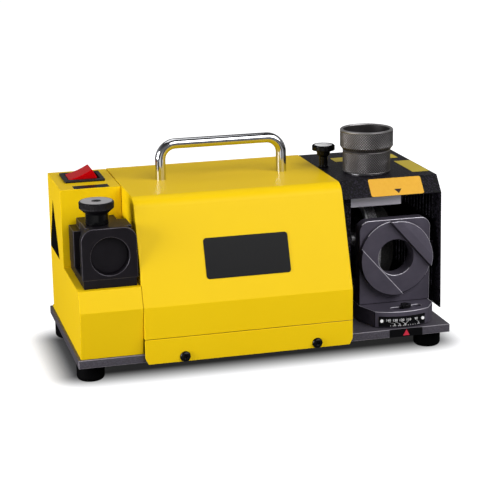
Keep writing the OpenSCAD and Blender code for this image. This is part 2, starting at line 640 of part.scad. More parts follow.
module wheel_flange() {
  color("#9a9ca2") difference() {
    rod_x(shaft_y, shaft_z, wheel_x0 - 8, wheel_x0, 16);
    rod_x(shaft_y, shaft_z, wheel_x0 - 9, wheel_x0 + 1, shaft_radius - 1);
  }
}
module grinding_wheel() {
  r = wheel_radius; r1 = r - (wheel_len - wheel_cyl)/tan(half_point);
  color("#6b6a66") translate([wheel_x0, shaft_y, shaft_z]) rotate([0, 90, 0]) rotate_extrude()
    polygon([[shaft_radius - 1, 0], [r, 0], [r, wheel_cyl], [r1, wheel_len], [r1 - 8, wheel_len],
      [r1 - 10, wheel_len - 8], [shaft_radius - 1, wheel_len - 8]]);
}
module wheel_nut() {
  x = wheel_x0 + wheel_len - 8;
  color("#9a9ca2") difference() {
    union() {
      rod_x(shaft_y, shaft_z, x, x + 3, 12);
      translate([x + 3 - eps, shaft_y, shaft_z]) rotate([0, 90, 0]) cylinder(h = 8, r = 9.5, $fn = 6);
    }
    rod_x(shaft_y, shaft_z, x - 1, x + 12, shaft_radius - 1);
  }
}

// ---------------------------------------------------------------- chuck in the top port
module chuck_body() {
  z0 = chuck_z0; z1 = z0 + ring_h; n = top_plate_z0 + 1;
  color("#75757a") difference() {
    union() {
      rod_z(chuck_x, chuck_y, n, z0 + 1, port_radius - running);
      rod_z(chuck_x, chuck_y, z0, z1, chuck_ring_radius);
      rod_z(chuck_x, chuck_y, z1 - 1, z1 + 9, 19);
    }
    translate([chuck_x, chuck_y, n - 1]) cylinder(h = z1 + 20 - n, r = 13);
  }
}
module chuck_collet() {
  n = top_plate_z0 - 1.5;
  color("#a4a6ab") difference() {
    rod_z(chuck_x, chuck_y, n, chuck_z0 + 12, 13);
    rod_z(chuck_x, chuck_y, n - 1, chuck_z0 + 20, 7);
    for (a = [0 : 45 : 135]) translate([chuck_x, chuck_y, 0]) rotate([0, 0, a])
      box(-20, 20, -0.6, 0.6, n - 1, n + 22);
  }
}
module chuck_nut() {
  z0 = chuck_z0 + ring_h + gap; z1 = z0 + nut_h; c = 3.4;
  color("#7d7c80") translate([chuck_x, chuck_y, 0]) rotate_extrude() polygon([[19 + running, z0],
    [chuck_ring_radius - 0.2, z0], [nut_ring, z0 + c*1.3], [nut_ring, z1 - 0.8], [nut_ring - 0.8, z1],
    [nut_ring - 2.2, z1], [nut_ring - 3.2, z1 - 1.4], [nut_ring - 3.2, z0 + 10], [19 + running, z0 + 9]]);
}

// ---------------------------------------------------------------- thumb knob on the chamber cover
module cover_knob() {
  z = cover_top + gap;
  color("#1c1c1f") translate([knob_x, knob_y, 0]) rotate_extrude() polygon([[0, z - 12], [knob_stem, z - 12],
    [knob_stem, z], [5, z], [5, z + 1.5], [4.2, z + 2.5], [4.2, z + 11], [6.4, z + 13], [6.8, z + 16.5],
    [11.2, z + 17.5], [11.2, z + 21.8], [10.4, z + 22.6], [9.6, z + 22.6], [9.6, z + 22], [0, z + 22]]);
}
module cover_knob_cap() {
  z = cover_top + gap + 22;
  color("#e4e4e6") rod_z(knob_x, knob_y, z, z + 0.8, 9.4);
}

// ---------------------------------------------------------------- drill setting gauge
module gauge_rail() {
  color("#2a282c") difference() {
    box(g_x0 + 1.2, g_x1 - 1.2, g_y0 + 0.4, -5, ledge_z, ledge_z + g_rail);
    for (q = rail_pts) rod_z(q[0], q[1], ledge_z - 1, ledge_z + 20, m5 + screw_fit);
    for (q = rail_pts) rod_z(q[0], q[1], ledge_z + 3, ledge_z + 20, 4.6);
  }
}
module gauge_screws() {
  color("#1c1c1e") for (q = rail_pts) translate([q[0], q[1], ledge_z + 3]) cap_screw(m5, 4.25, 4.6, 3 + sheet + 3);
}
module gauge_plate() {
  color("#2e2b30") along_y(g_y0, g_y0 + g_t) difference() {
    arch_rect(g_x0, g_x1, ledge_z + g_rail, g_top, 12);
    translate([g_cx, g_cz]) circle(port_radius);
  }
}
module gauge_body() {
  y0 = g_y0 + g_t; y1 = y0 + 26; x0 = g_cx - 20.5; x1 = g_cx + 22; 
  color("#2e2b30") difference() {
    union() {
      box(x0, x1, y0, y1, g_rail + ledge_z, g_top - 0.6);
    }
    rod_y(g_cx, g_cz, y0 - 1, y1 + 1, port_radius);
    rod_z(g_knob_x, g_knob_y, g_top - 10, g_top + 1, 4 + running);
    for (q = [0, 1]) rod_z(rail_pts[q][0], rail_pts[q][1], ledge_z, ledge_z + 12, 5);
  }
}
module gauge_carriage() {
  y0 = -33; y1 = -6;
  color("#34323a") difference() {
    union() {
      box(g_x0 + 0.6, g_x1 - 3, y0, y1, ledge_z + g_rail, ledge_z + 42.6);
      box(g_cx - 18, g_cx + 18, y0 + 6, y1, ledge_z + 42, ledge_z + 49);
    }
    rod_y(g_cx, g_cz, y0 - 1, y1 + 1, 6 + running);
    rod_z(rail_pts[2][0], rail_pts[2][1], ledge_z, ledge_z + 12, 5);
  }
}
module gauge_stop() {
  color("#3a3840") union() {
    rod_y(g_cx, g_cz, g_y0 + 7, g_y0 + 13, port_radius - 0.3);
    rod_y(g_cx, g_cz, g_y0 + 13 - eps, -7, 6);
  }
}
module gauge_knob() {
  z = g_top - 0.6 + gap; r = 16;
  color("#3a373c") translate([g_knob_x, g_knob_y, 0]) difference() {
    rotate_extrude() polygon([[0, z - 8], [4, z - 8], [4, z], [neck_r, z], [neck_r, z + 10], [neck_r + 1, z + 11],
      [r - 0.4, z + 14.4], [r, z + 15], [r, z + 20.4], [r - 0.8, z + 21.2], [0, z + 21.2]]);
    translate([0, 0, z + 18.2]) cylinder(h = 5, r = 3.4);
    translate([0, 0, z + 5]) cylinder(h = 30, r = m4 + screw_fit);
  }
}
module gauge_knob_screw() {
  z = g_top - 0.6 + gap + 18.2;
  color("#1c1c1e") translate([g_knob_x, g_knob_y, z]) cap_screw(m4, 3.3, 3, 10);
}

base_plate();
rubber_feet();
foot_screws();
switch_box();
box_front();
box_rear();
box_end_left();
box_end_right();
main_cover();
front_skirt();
skirt_screws();
cover_screws();
carry_handle();
handle_screws();
name_plate();
switch_housing();
switch_rocker();
cable_gland();
chamber_cover();
partition();
partition_screws();
top_port_plate();
top_port_screws();
top_port_bush();
pivot_pin();
clamp_screw();
swivel_base();
port_plate();
port_screws();
port_disc();
scale_plate();
scale_screws();
motor_frame();
stator();
end_bell_left();
end_bell_right();
bearings();
motor_mount();
motor_screws();
rotor_shaft();
rotor_core();
cooling_fan();
wheel_flange();
grinding_wheel();
wheel_nut();
chuck_body();
chuck_collet();
chuck_nut();
cover_knob();
cover_knob_cap();
gauge_rail();
gauge_screws();
gauge_plate();
gauge_body();
gauge_carriage();
gauge_stop();
gauge_knob();
gauge_knob_screw();
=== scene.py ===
# %% [markdown]
# A bench-top drill bit sharpener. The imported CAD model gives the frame: every node already has its true
# size and place, in metres, with X to the right, Y to the back and Z up. This file adds the looks: softened
# edges, knurling, labels, paint and metal finishes, a white stage and the camera.

# %% Load the frame
import json
import math
import bmesh
import bpy
import numpy as np
from mathutils import Matrix, Vector


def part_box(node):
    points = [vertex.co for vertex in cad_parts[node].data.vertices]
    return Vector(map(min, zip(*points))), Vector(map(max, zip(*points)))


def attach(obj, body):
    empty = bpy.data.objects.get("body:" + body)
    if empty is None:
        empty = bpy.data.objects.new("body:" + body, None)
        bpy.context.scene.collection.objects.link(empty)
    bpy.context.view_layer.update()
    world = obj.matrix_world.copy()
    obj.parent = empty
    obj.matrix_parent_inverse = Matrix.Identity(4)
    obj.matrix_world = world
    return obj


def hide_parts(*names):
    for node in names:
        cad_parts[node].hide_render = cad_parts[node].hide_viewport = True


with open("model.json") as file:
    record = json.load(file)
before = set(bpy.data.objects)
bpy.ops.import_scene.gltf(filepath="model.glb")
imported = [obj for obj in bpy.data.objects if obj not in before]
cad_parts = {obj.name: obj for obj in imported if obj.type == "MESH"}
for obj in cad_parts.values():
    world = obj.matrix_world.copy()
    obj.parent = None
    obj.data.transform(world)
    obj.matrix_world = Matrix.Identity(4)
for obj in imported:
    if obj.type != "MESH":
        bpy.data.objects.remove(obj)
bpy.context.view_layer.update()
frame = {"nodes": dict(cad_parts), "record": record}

MM = 0.001

# %% [markdown]
# Every material is built from nodes. They could be copied from a library of materials, but small functions
# keep each finish readable here. One turns a written sRGB colour into the linear colour that the shader
# wants, and one adds a node with its settings and links.

# %% Colour and node helpers
def linear(code):
    """sRGB hex to linear: each channel c becomes c/12.92 below 0.04045, else ((c + 0.055)/1.055)^2.4."""
    c = np.array([int(code[i:i + 2], 16) for i in (1, 3, 5)]) / 255.0
    low, high = c / 12.92, ((c + 0.055) / 1.055) ** 2.4
    return tuple(np.where(c <= 0.04045, low, high)) + (1.0,)


def add(tree, kind, settings=None, sockets=None):
    """Adds one node; settings are its properties, sockets maps an input to a value or to another output."""
    made = tree.nodes.new("ShaderNode" + kind)
    for key, value in (settings or {}).items():
        setattr(made, key, value)
    for key, value in (sockets or {}).items():
        if isinstance(value, bpy.types.NodeSocket):
            tree.links.new(value, made.inputs[key])
        else:
            made.inputs[key].default_value = value
    return made


def start_material(name, **sockets):
    """A new material: its tree, its Principled shader and the object coordinates that its patterns read."""
    mat = bpy.data.materials.new(name)
    mat.use_nodes = True
    tree = mat.node_tree
    shader = tree.nodes["Principled BSDF"]
    for key, value in sockets.items():
        shader.inputs[key.replace("_", " ")].default_value = value
    place = add(tree, "TexCoord").outputs["Object"]
    return mat, tree, shader, place


def per_metre(size_mm):
    """A texture's scale is how often its pattern repeats in a metre: one over the real size."""
    return 1.0 / (size_mm * MM)

# %% [markdown]
# The covers are folded steel sheet, powder coated: paint sprayed as dust and melted in an oven. That leaves a
# faint orange-peel ripple about 1.5 mm across, a soft gloss, and a hardly visible drift of colour over a
# panel. One flat colour would be quicker, but a large panel then looks like a plastic toy, so two close
# colours are mixed by a slow noise and a fine noise makes the ripple.

# %% Yellow powder coat
def powder_coat(name, code, second, ripple_mm, rough, height_mm):
    """Semi-gloss paint: two close colours mixed by a slow noise, and a fine noise as the ripple."""
    mat, tree, shader, place = start_material(name, Specular_IOR_Level=0.1)
    drift = add(tree, "TexNoise", None, {"Vector": place, "Scale": per_metre(60), "Detail": 2.0})
    colour = add(tree, "MixRGB", None, {0: drift.outputs["Fac"], 1: linear(code), 2: linear(second)})
    ripple = add(tree, "TexNoise", None, {"Vector": place, "Scale": per_metre(ripple_mm), "Detail": 1.0})
    gloss = add(tree, "MapRange", None, {0: drift.outputs["Fac"], 3: rough - 0.04, 4: rough + 0.04})
    bump = add(tree, "Bump", None, {"Height": ripple.outputs["Fac"], "Distance": height_mm * MM})
    tree.links.new(colour.outputs[0], shader.inputs["Base Color"])
    tree.links.new(gloss.outputs[0], shader.inputs["Roughness"])
    tree.links.new(bump.outputs[0], shader.inputs["Normal"])
    return mat


# Warm yellow, even and half glossy: a lamp shows as a wide, soft patch and never as a sharp spot.
yellow_powder = powder_coat("yellow powder coat on steel sheet", "#E9C10A", "#ECC60E", 1.5, 0.4, 0.015)
print("made", yellow_powder.name)

# %% [markdown]
# The chamber is coated with black wrinkle paint: it shrinks as it dries into worm-like ridges a millimetre or
# two apart, so it looks grainy and never gives a sharp highlight. A plain noise as bump gives soft hills;
# cells bent by a noise were chosen, because the creases between them close up as they do in dried paint. The
# ridges are coloured lighter as painted highlight and the creases darker as painted shade. The base plate has
# the finer structure paint of machine bases, and its front edge is worn thin by hands; that lighter edge is
# also a painted highlight.

# %% Black wrinkle paint
def wrinkle_paint(name, dark, light, ridge_mm, rough, height_mm, shine=0.25):
    """Cells bent by a noise: the distance from a cell's middle is 0 on a ridge and 1 in a crease, and it
    sets both the height and the mix of the light and the dark colour: painted highlight on the ridges and
    painted shade in the creases."""
    mat, tree, shader, place = start_material(name, Roughness=rough, Specular_IOR_Level=shine)
    bend = add(tree, "TexNoise", None, {"Vector": place, "Scale": per_metre(ridge_mm * 2), "Detail": 2.0})
    offset = add(tree, "VectorMath", {"operation": "SCALE"},
                 {0: bend.outputs["Color"], "Scale": ridge_mm * MM})
    moved = add(tree, "VectorMath", {"operation": "ADD"}, {0: place, 1: offset.outputs[0]})
    cells = add(tree, "TexVoronoi", None, {"Vector": moved.outputs[0], "Scale": per_metre(ridge_mm)})
    between = add(tree, "MapRange", None, {0: cells.outputs["Distance"], 1: 0.15, 2: 0.6})
    # The crease depth sets the bump and the colour: painted highlight on the ridges, painted shade in the
    # creases.
    colour = add(tree, "MixRGB", None, {0: between.outputs[0], 1: linear(light), 2: linear(dark)})
    bump = add(tree, "Bump", {"invert": True}, {"Height": between.outputs[0], "Distance": height_mm * MM})
    tree.links.new(colour.outputs[0], shader.inputs["Base Color"])
    tree.links.new(bump.outputs[0], shader.inputs["Normal"])
    return mat


# Black, grainy and dull; the blue-grey ridges are painted highlight and the black creases painted shade.
black_wrinkle = wrinkle_paint("black wrinkle paint on steel sheet",
                              "#040405", "#302C38", 1.8, 0.45, 0.6, 0.12)
# Dark violet grey, nearly flat; its fine speckle is painted highlight on ridges and painted shade in creases.
base_paint = wrinkle_paint("dark grey structure paint on steel plate",
                           "#423F46", "#5A5660", 0.9, 0.4, 0.05)
# The same paint rubbed down until the steel almost shows, so it is lighter and a little smoother. It stays
# only on the base's front edges, so there it is also a painted highlight.
lit_worn_paint = wrinkle_paint("structure paint, worn edges as painted highlight", "#767279", "#96929A", 0.9, 0.35, 0.02)
print("made", black_wrinkle.name, "and", base_paint.name)

# %% [markdown]
# Bare and treated metal. Milled and turned faces keep fine tool marks, a few tenths of a millimetre apart.
# The shader's own anisotropy could stretch the highlights, but it needs a direction on every face. A noise
# stretched along the marks was chosen, because it breaks a reflection up and can be seen close by as well.

# %% Machined metal
def machined(name, code, second, rough, metallic, marks_mm=(0.4, 8.0, 8.0), height_mm=0.01, shine=0.3):
    """Tool marks: a noise whose cell is marks_mm wide along X, Y and Z, so long in some directions."""
    mat, tree, shader, place = start_material(name, Metallic=metallic, Specular_IOR_Level=shine)
    squeeze = add(tree, "Mapping", None, {"Vector": place, "Scale": tuple(per_metre(m) for m in marks_mm)})
    marks = add(tree, "TexNoise", None, {"Vector": squeeze.outputs[0], "Scale": 1.0, "Detail": 3.0})
    drift = add(tree, "TexNoise", None, {"Vector": place, "Scale": per_metre(15), "Detail": 3.0})
    both = add(tree, "Math", {"operation": "MULTIPLY_ADD"},
               {0: marks.outputs["Fac"], 1: 0.5, 2: drift.outputs["Fac"]})
    amount = add(tree, "MapRange", None, {0: both.outputs[0], 1: 0.4, 2: 1.1})
    colour = add(tree, "MixRGB", None, {0: amount.outputs[0], 1: linear(code), 2: linear(second)})
    gloss = add(tree, "MapRange", None, {0: marks.outputs["Fac"], 3: rough - 0.06, 4: rough + 0.06})
    bump = add(tree, "Bump", None, {"Height": marks.outputs["Fac"], "Distance": height_mm * MM})
    tree.links.new(colour.outputs[0], shader.inputs["Base Color"])
    tree.links.new(gloss.outputs[0], shader.inputs["Roughness"])
    tree.links.new(bump.outputs[0], shader.inputs["Normal"])
    return mat


print("a mark 0.4 mm wide repeats", round(per_metre(0.4)), "times in a metre")

# %% [markdown]
# The port, the gauge and the top plate are aluminium, milled or turned, and mostly anodised. An anodised
# layer is hard dyed oxide, and a milled face scatters more than it mirrors. A fully metallic shader would
# turn black here wherever there is little to mirror, so all of these are only partly metallic.

# %% Aluminium finishes
even_fine = (0.6, 0.6, 0.6)
# Violet grey with a satin sheen and fine level marks.
anodised = machined("dark anodised aluminium, milled", "#4A4652", "#585360", 0.42, 0.3, (6.0, 6.0, 0.5))
# Bead blasting leaves an even, almost black surface without a direction.
gauge_metal = machined("black anodised aluminium, bead blasted",
                       "#121014", "#1B181D", 0.42, 0.05, even_fine, shine=0.12)
# Turned before it was dyed, so it shines a little more than the blasted blocks.
knob_metal = machined("black anodised aluminium, turned",
                      "#0F0E10", "#1D1B1F", 0.3, 0.2, even_fine, shine=0.2)
# Pale and slightly blue, with long marks from the milling cutter.
aluminium = machined("bare aluminium, milled", "#C4C1CC", "#D4D1DA", 0.38, 0.3, (8.0, 0.5, 0.5))
# Faced on a lathe: pale, with a fine even grain on its top.
bright_face = machined("faced aluminium, bright", "#B2B1B3", "#C6C5C7", 0.35, 0.4, (0.5, 0.5, 5.0))
# Where the dye is worn off, the edge is a bright line. It stays only on edges that face up or right, so it is
# also a painted highlight.
lit_worn_edge = machined("anodised aluminium, worn edges as painted highlight",
                     "#ABA8B2", "#D0CDD6", 0.3, 0.5, (3.0, 3.0, 3.0))
# Only rubbed: a thin grey line on the black blocks.
rubbed_edge = machined("anodised aluminium, edges rubbed", "#3F3C42", "#5C585F", 0.35, 0.6, (3.0, 3.0, 3.0))
print("made the aluminium finishes")

# %% [markdown]
# Steel is turned, knurled, plated or blackened. Clean turned and plated steel is fully metallic and only
# needs its colour, roughness and marks. Oil and oxide lie over the others as a thin film, which could be a
# coat in the shader; a metallic value below one does the same and keeps the dark steel readable.

# %% Steel and motor finishes
even_medium, even_small = (1.0, 1.0, 1.0), (0.8, 0.8, 0.8)
# Bright rings of light round the part.
turned_steel = machined("turned steel", "#9A999C", "#B4B3B6", 0.28, 1.0, (6.0, 6.0, 0.3))
# A film of oil makes the knurled steel a warm mid grey.
knurled_steel = machined("knurled steel, oiled", "#868485", "#989597", 0.36, 0.85, even_medium)
# The lower ring is the same knurled steel made darker as painted shade under the nut.
knurled_shaded = machined("knurled steel, lower ring in painted shade", "#777475", "#898688", 0.38, 0.85, even_medium)
rim_steel = machined("steel rim, rubbed by hands", "#7D7B7C", "#9A9899", 0.42, 0.8, even_medium)
# Almost black, as painted shade for the little light that reaches into a bore.
shaded_bore_steel = machined("steel bore, dark as painted shade", "#2E2C2D", "#454243", 0.42, 0.7, (5.0, 5.0, 0.4))
# Black with small sharp highlights, as on any socket screw.
black_oxide = machined("black oxide steel", "#0C0C0E", "#1A191C", 0.26, 0.5, even_small)
zinc_steel = machined("zinc plated steel", "#9C9CA0", "#B5B5B8", 0.3, 1.0, even_small)
# A mirror with a hint of blue, and no marks at all.
chrome = machined("polished chrome plate", "#C9CACF", "#D1D2D6", 0.08, 1.0, (3.0, 3.0, 3.0), 0.0)
# Inside the covers: dull enamel on the motor, and brown varnish over stacked sheets 0.5 mm thick.
motor_paint = machined("motor housing, grey enamel", "#55575B", "#606266", 0.45, 0.2, (2.0, 2.0, 2.0))
laminations = machined("varnished steel laminations", "#4A3826", "#5D4731", 0.4, 0.3, (0.5, 20.0, 20.0), 0.05)
print("made the steel finishes")

# %% [markdown]
# Plastics, rubber, films and inks. Moulded nylon takes the fine grain of its mould, a phenolic knob is
# polished, and rubber is matt because its surface scatters nearly all light. Each could have a function of
# its own, but they differ only in colour, in roughness and in how deep the grain is, so one is enough.

# %% Plastics and rubber
def moulded(name, code, second, grain_mm, rough, height_mm, shine=0.2):
    """Mould grain: a fine noise as bump and as a slight change of colour and of gloss."""
    mat, tree, shader, place = start_material(name, Specular_IOR_Level=shine)
    grain = add(tree, "TexNoise", None, {"Vector": place, "Scale": per_metre(grain_mm), "Detail": 2.0})
    colour = add(tree, "MixRGB", None, {0: grain.outputs["Fac"], 1: linear(code), 2: linear(second)})
    gloss = add(tree, "MapRange", None, {0: grain.outputs["Fac"], 3: rough - 0.05, 4: rough + 0.05})
    bump = add(tree, "Bump", None, {"Height": grain.outputs["Fac"], "Distance": height_mm * MM})
    tree.links.new(colour.outputs[0], shader.inputs["Base Color"])
    tree.links.new(gloss.outputs[0], shader.inputs["Roughness"])
    tree.links.new(bump.outputs[0], shader.inputs["Normal"])
    return mat


# Matt black with a fine grain, as on a switch frame.
black_nylon = moulded("black moulded nylon", "#0E0E10", "#19181C", 0.7, 0.45, 0.02, 0.25)
# Deep black and polished, so it shows the lamps as narrow streaks.
gloss_black = moulded("black phenolic knob", "#060607", "#0B0B0D", 1.5, 0.16, 0.003, 0.14)
# Strong signal red, smooth and hardly glossy.
red_rocker = moulded("red moulded polycarbonate", "#A80108", "#BC030B", 1.0, 0.2, 0.004, 0.04)
# The blackest and dullest thing on the machine.
rubber = moulded("black rubber", "#030304", "#060607", 0.8, 0.6, 0.04, 0.04)
# Clean white, with no grain to see.
white_disc = moulded("white enamelled disc", "#FAFAFC", "#FEFEFE", 2.0, 0.3, 0.002, 0.05)
# Printed vinyl films are smooth and lie flat, so each is an even patch of its colour.
amber_film = moulded("amber vinyl film", "#D8A133", "#E0AB3C", 3.0, 0.35, 0.004, 0.12)
yellow_film = moulded("yellow vinyl film", "#C4AC29", "#CEB731", 3.0, 0.35, 0.004, 0.15)
black_film = moulded("satin black film", "#08080A", "#0E0E10", 1.2, 0.35, 0.004, 0.1)
matt_film = moulded("matt black film", "#050506", "#0A0A0B", 1.2, 0.8, 0.004, 0.02)
# Inks are flat colour with the film's own sheen.
brown_ink = moulded("dark brown ink", "#2A170C", "#331D10", 1.0, 0.4, 0.002)
red_ink = moulded("red ink", "#C0283C", "#CE3448", 1.0, 0.4, 0.002)
white_ink = moulded("white ink", "#E6E6E8", "#F4F4F5", 1.0, 0.4, 0.002)
print("made the plastics, films and inks")

# %% [markdown]
# The grinding wheel is a steel cup with a bonded coat of abrasive grit. Grains scattered as geometry would be
# exact but far too many, so cells of random value stand for them. Grit of 0.2 mm can't be seen from here, so
# it is drawn at 0.8 mm: light crystals in a dark grey bond.

# %% Abrasive coat
def grit(name, bond, crystal, grain_mm):
    """Cells of random value: the lightest are crystals, and all of them stand proud by their value."""
    mat, tree, shader, place = start_material(name, Roughness=0.75)
    cells = add(tree, "TexVoronoi", None, {"Vector": place, "Scale": per_metre(grain_mm)})
    spread = add(tree, "MapRange", None, {0: cells.outputs["Color"], 1: 0.35, 2: 0.9})
    colour = add(tree, "MixRGB", None, {0: spread.outputs[0], 1: linear(bond), 2: linear(crystal)})
    bump = add(tree, "Bump", None, {"Height": spread.outputs[0], "Distance": 0.15 * MM})
    tree.links.new(colour.outputs[0], shader.inputs["Base Color"])
    tree.links.new(bump.outputs[0], shader.inputs["Normal"])
    return mat


grit_mm = 0.8
# A dark bond, darkened nearly black on the cone as painted shade inside the chamber, and sparkling; the
# band round the wheel is a lighter copy as painted highlight.
abrasive = grit("bonded abrasive", "#141313", "#3A3937", grit_mm)
abrasive_band = grit("bonded abrasive, band lightened as painted highlight", "#6A696C", "#A9A8AB", grit_mm)
# The steel edge of the cup, painted nearly white and not metallic as a painted highlight, so that it shows
# as a thin bright line inside the port.
wheel_rim_highlight = machined("wheel rim, painted highlight", "#F0F0F2", "#FAFAFC", 0.4, 0.0, (0.6, 4.0, 4.0))
print("made", abrasive.name, "and", wheel_rim_highlight.name)

# %% [markdown]
# Every piece rides on one CAD body and may stand for a CAD node. These calls could stand beside each piece,
# but then one is soon forgotten and a piece stays behind when a joint moves. One function does both.

# %% Bodies and slots
body_of = {n: b for b, names in frame["record"]["behaviour"]["bodies"].items() for n in names}
slot_of = {s["node"]: s["material_slot"] for s in frame["record"]["subparts"]}


def settle(piece, body, *nodes, slot=None):
    """Puts a finished piece on its body and hides the nodes that it stands for."""
    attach(piece, body)
    if nodes:
        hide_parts(*nodes)
        slot = slot or slot_of[nodes[0]]
    return piece


# %% [markdown]
# Real edges are never sharp: folded sheet, milled blocks and moulded parts all catch a thin line of light. A
# Bevel modifier would round every edge of every triangle, and the CAD meshes are loose triangles. So a CAD
# node is left alone and a copy of it is worked on: it is merged, its flat triangles are joined, and every
# edge that turns by more than the given angle is cut back and rounded. The copy then stands for the node.

# %% Softened edges
# Painted highlight and shade on the edges: the port's edges that face up or right keep the bright worn finish
# as painted highlight, and the others get near-black anodising as painted shade. The base's front edges keep
# the lighter worn paint as painted highlight, and the others the plain paint.
lit_edge_way = {lit_worn_edge.name: ((0.6, 0.0, 0.8), gauge_metal), lit_worn_paint.name: ((0.0, -1.0, 0.0), base_paint)}
merge_gap, flat_angle = 2e-6, math.radians(0.8)


def softened(node, width_mm, material, edge=None, angle=32, rounds=2):
    """Copy of a CAD node: merged, flat regions joined, and edges steeper than angle rounded by width.
    A worn finish stays, as painted highlight, on the edges that face its lit way; the others get that way's
    second finish, which on the port is near-black as painted shade."""
    mesh = bpy.data.meshes.new(node + "_soft")
    work = bmesh.new()
    work.from_mesh(frame["nodes"][node].data)
    bmesh.ops.remove_doubles(work, verts=work.verts, dist=merge_gap)
    bmesh.ops.dissolve_limit(work, angle_limit=flat_angle, verts=work.verts, edges=work.edges)
    limit = math.radians(angle)
    sharp = [e for e in work.edges if len(e.link_faces) == 2 and e.calc_face_angle(0) > limit]
    bmesh.ops.bevel(work, geom=sharp, offset=width_mm * MM, offset_type="OFFSET", segments=rounds,
                    profile=0.5, affect="EDGES", clamp_overlap=False, harden_normals=False,
                    material=1 if edge else -1)
    way, unlit_edge_finish = lit_edge_way.get(edge.name if edge else "", ((0, 0, 0), material))
    # Painted highlight and shade: bevels that face the lit way keep the worn finish, the others take the
    # second one.
    if any(way):
        for face in work.faces:
            if face.material_index == 1 and sum(w * n for w, n in zip(way, face.normal)) < 0.02:
                face.material_index = 2
    work.to_mesh(mesh)
    work.free()
    mesh.polygons.foreach_set("use_smooth", np.ones(len(mesh.polygons), bool))
    mesh.set_sharp_from_angle(angle=math.radians(36))
    for finish in [material] + [edge, unlit_edge_finish] * bool(edge):
        mesh.materials.append(finish)
    piece = bpy.data.objects.new(node + "_soft", mesh)
    bpy.context.scene.collection.objects.link(piece)
    flatten = piece.modifiers.new("flat faces", "WEIGHTED_NORMAL")
    flatten.keep_sharp, flatten.weight = True, 100
    return settle(piece, body_of[node], node)


print("edges steeper than 32 degrees are rounded, 15 on folded sheet")

# %% [markdown]
# Each piece gets an edge as wide as such a part has: up to 0.5 mm on folded sheet, 0.6 mm on milled blocks
# and 0.7 mm on the rocker. One width for all would be shorter, but it eats into thin sheets and small
# screws. Worn blocks name a second finish for their edges; on the port and the base it is also a painted
# highlight on the edges that face the light.

# %% Pieces with softened edges
soft_list = [
    ("base_plate", 0.6, base_paint, lit_worn_paint),
    ("switch_box", 0.5, yellow_powder), ("main_cover", 0.5, yellow_powder), ("box_front", 0.4, yellow_powder),
    ("box_rear", 0.3, yellow_powder), ("box_end_left", 0.2, yellow_powder),
    ("box_end_right", 0.2, yellow_powder), ("front_skirt", 0.5, yellow_powder),
    ("name_plate", 0.2, black_film), ("switch_housing", 0.5, black_nylon), ("switch_rocker", 0.7, red_rocker),
    ("cable_gland", 0.4, black_nylon), ("chamber_cover", 0.4, black_wrinkle),
    ("partition", 0.5, black_wrinkle), ("top_port_plate", 0.4, aluminium),
    ("top_port_bush", 0.4, turned_steel), ("swivel_base", 0.5, anodised, lit_worn_edge),
    ("port_plate", 0.6, anodised, lit_worn_edge), ("port_disc", 0.5, anodised, lit_worn_edge),
    ("scale_plate", 0.15, black_film), ("gauge_rail", 0.5, gauge_metal),
    ("gauge_plate", 0.6, gauge_metal, rubbed_edge), ("gauge_body", 0.6, gauge_metal, rubbed_edge),
    ("gauge_carriage", 0.6, gauge_metal, rubbed_edge), ("gauge_stop", 0.5, gauge_metal),
    ("skirt_screws", 0.25, black_oxide), ("cover_screws", 0.2, black_oxide),
    ("gauge_knob_screw", 0.25, black_oxide), ("clamp_screw", 0.3, black_oxide), ("rubber_feet", 0.5, rubber),
]
for node_name, width, finish, *worn in soft_list:
    made = softened(node_name, width, finish, *worn, angle=15 if finish is yellow_powder else 32)
    print(f"{node_name}: {len(made.data.polygons)} faces, edges rounded {width} mm")

# %% [markdown]
# Inner pieces that hardly show keep their CAD shape and only get their finish. They could be softened like
# the others, but that would add faces where nobody looks. A finish goes into the mesh's own material list,
# which leaves the CAD shape as it was.

# %% Finishes on the CAD nodes that stay
kept = {
    "foot_screws": zinc_steel, "handle_screws": zinc_steel, "partition_screws": black_oxide,
    "top_port_screws": zinc_steel, "pivot_pin": turned_steel, "motor_frame": motor_paint,
    "stator": laminations, "end_bell_left": aluminium, "end_bell_right": aluminium, "bearings": turned_steel,
    "motor_mount": black_wrinkle, "motor_screws": zinc_steel, "gauge_screws": black_oxide,
    "port_screws": zinc_steel, "scale_screws": white_disc, "rotor_shaft": turned_steel,
    "rotor_core": laminations, "cooling_fan": black_nylon, "wheel_flange": turned_steel,
    "wheel_nut": zinc_steel, "chuck_collet": shaded_bore_steel,
}
for node_name, finish in kept.items():
    data = frame["nodes"][node_name].data
    data.materials.clear()
    data.materials.append(finish)
print(len(kept), "CAD nodes finished")

# %% [markdown]
# Turned and bent pieces are surfaces of two parameters. Blender's Spin tool could turn them, but a grid of
# points worked out with numpy as one array can also be pressed in where a tool cuts the metal. Each grid
# square becomes a face, and the seams and poles are merged so that the surface is closed.

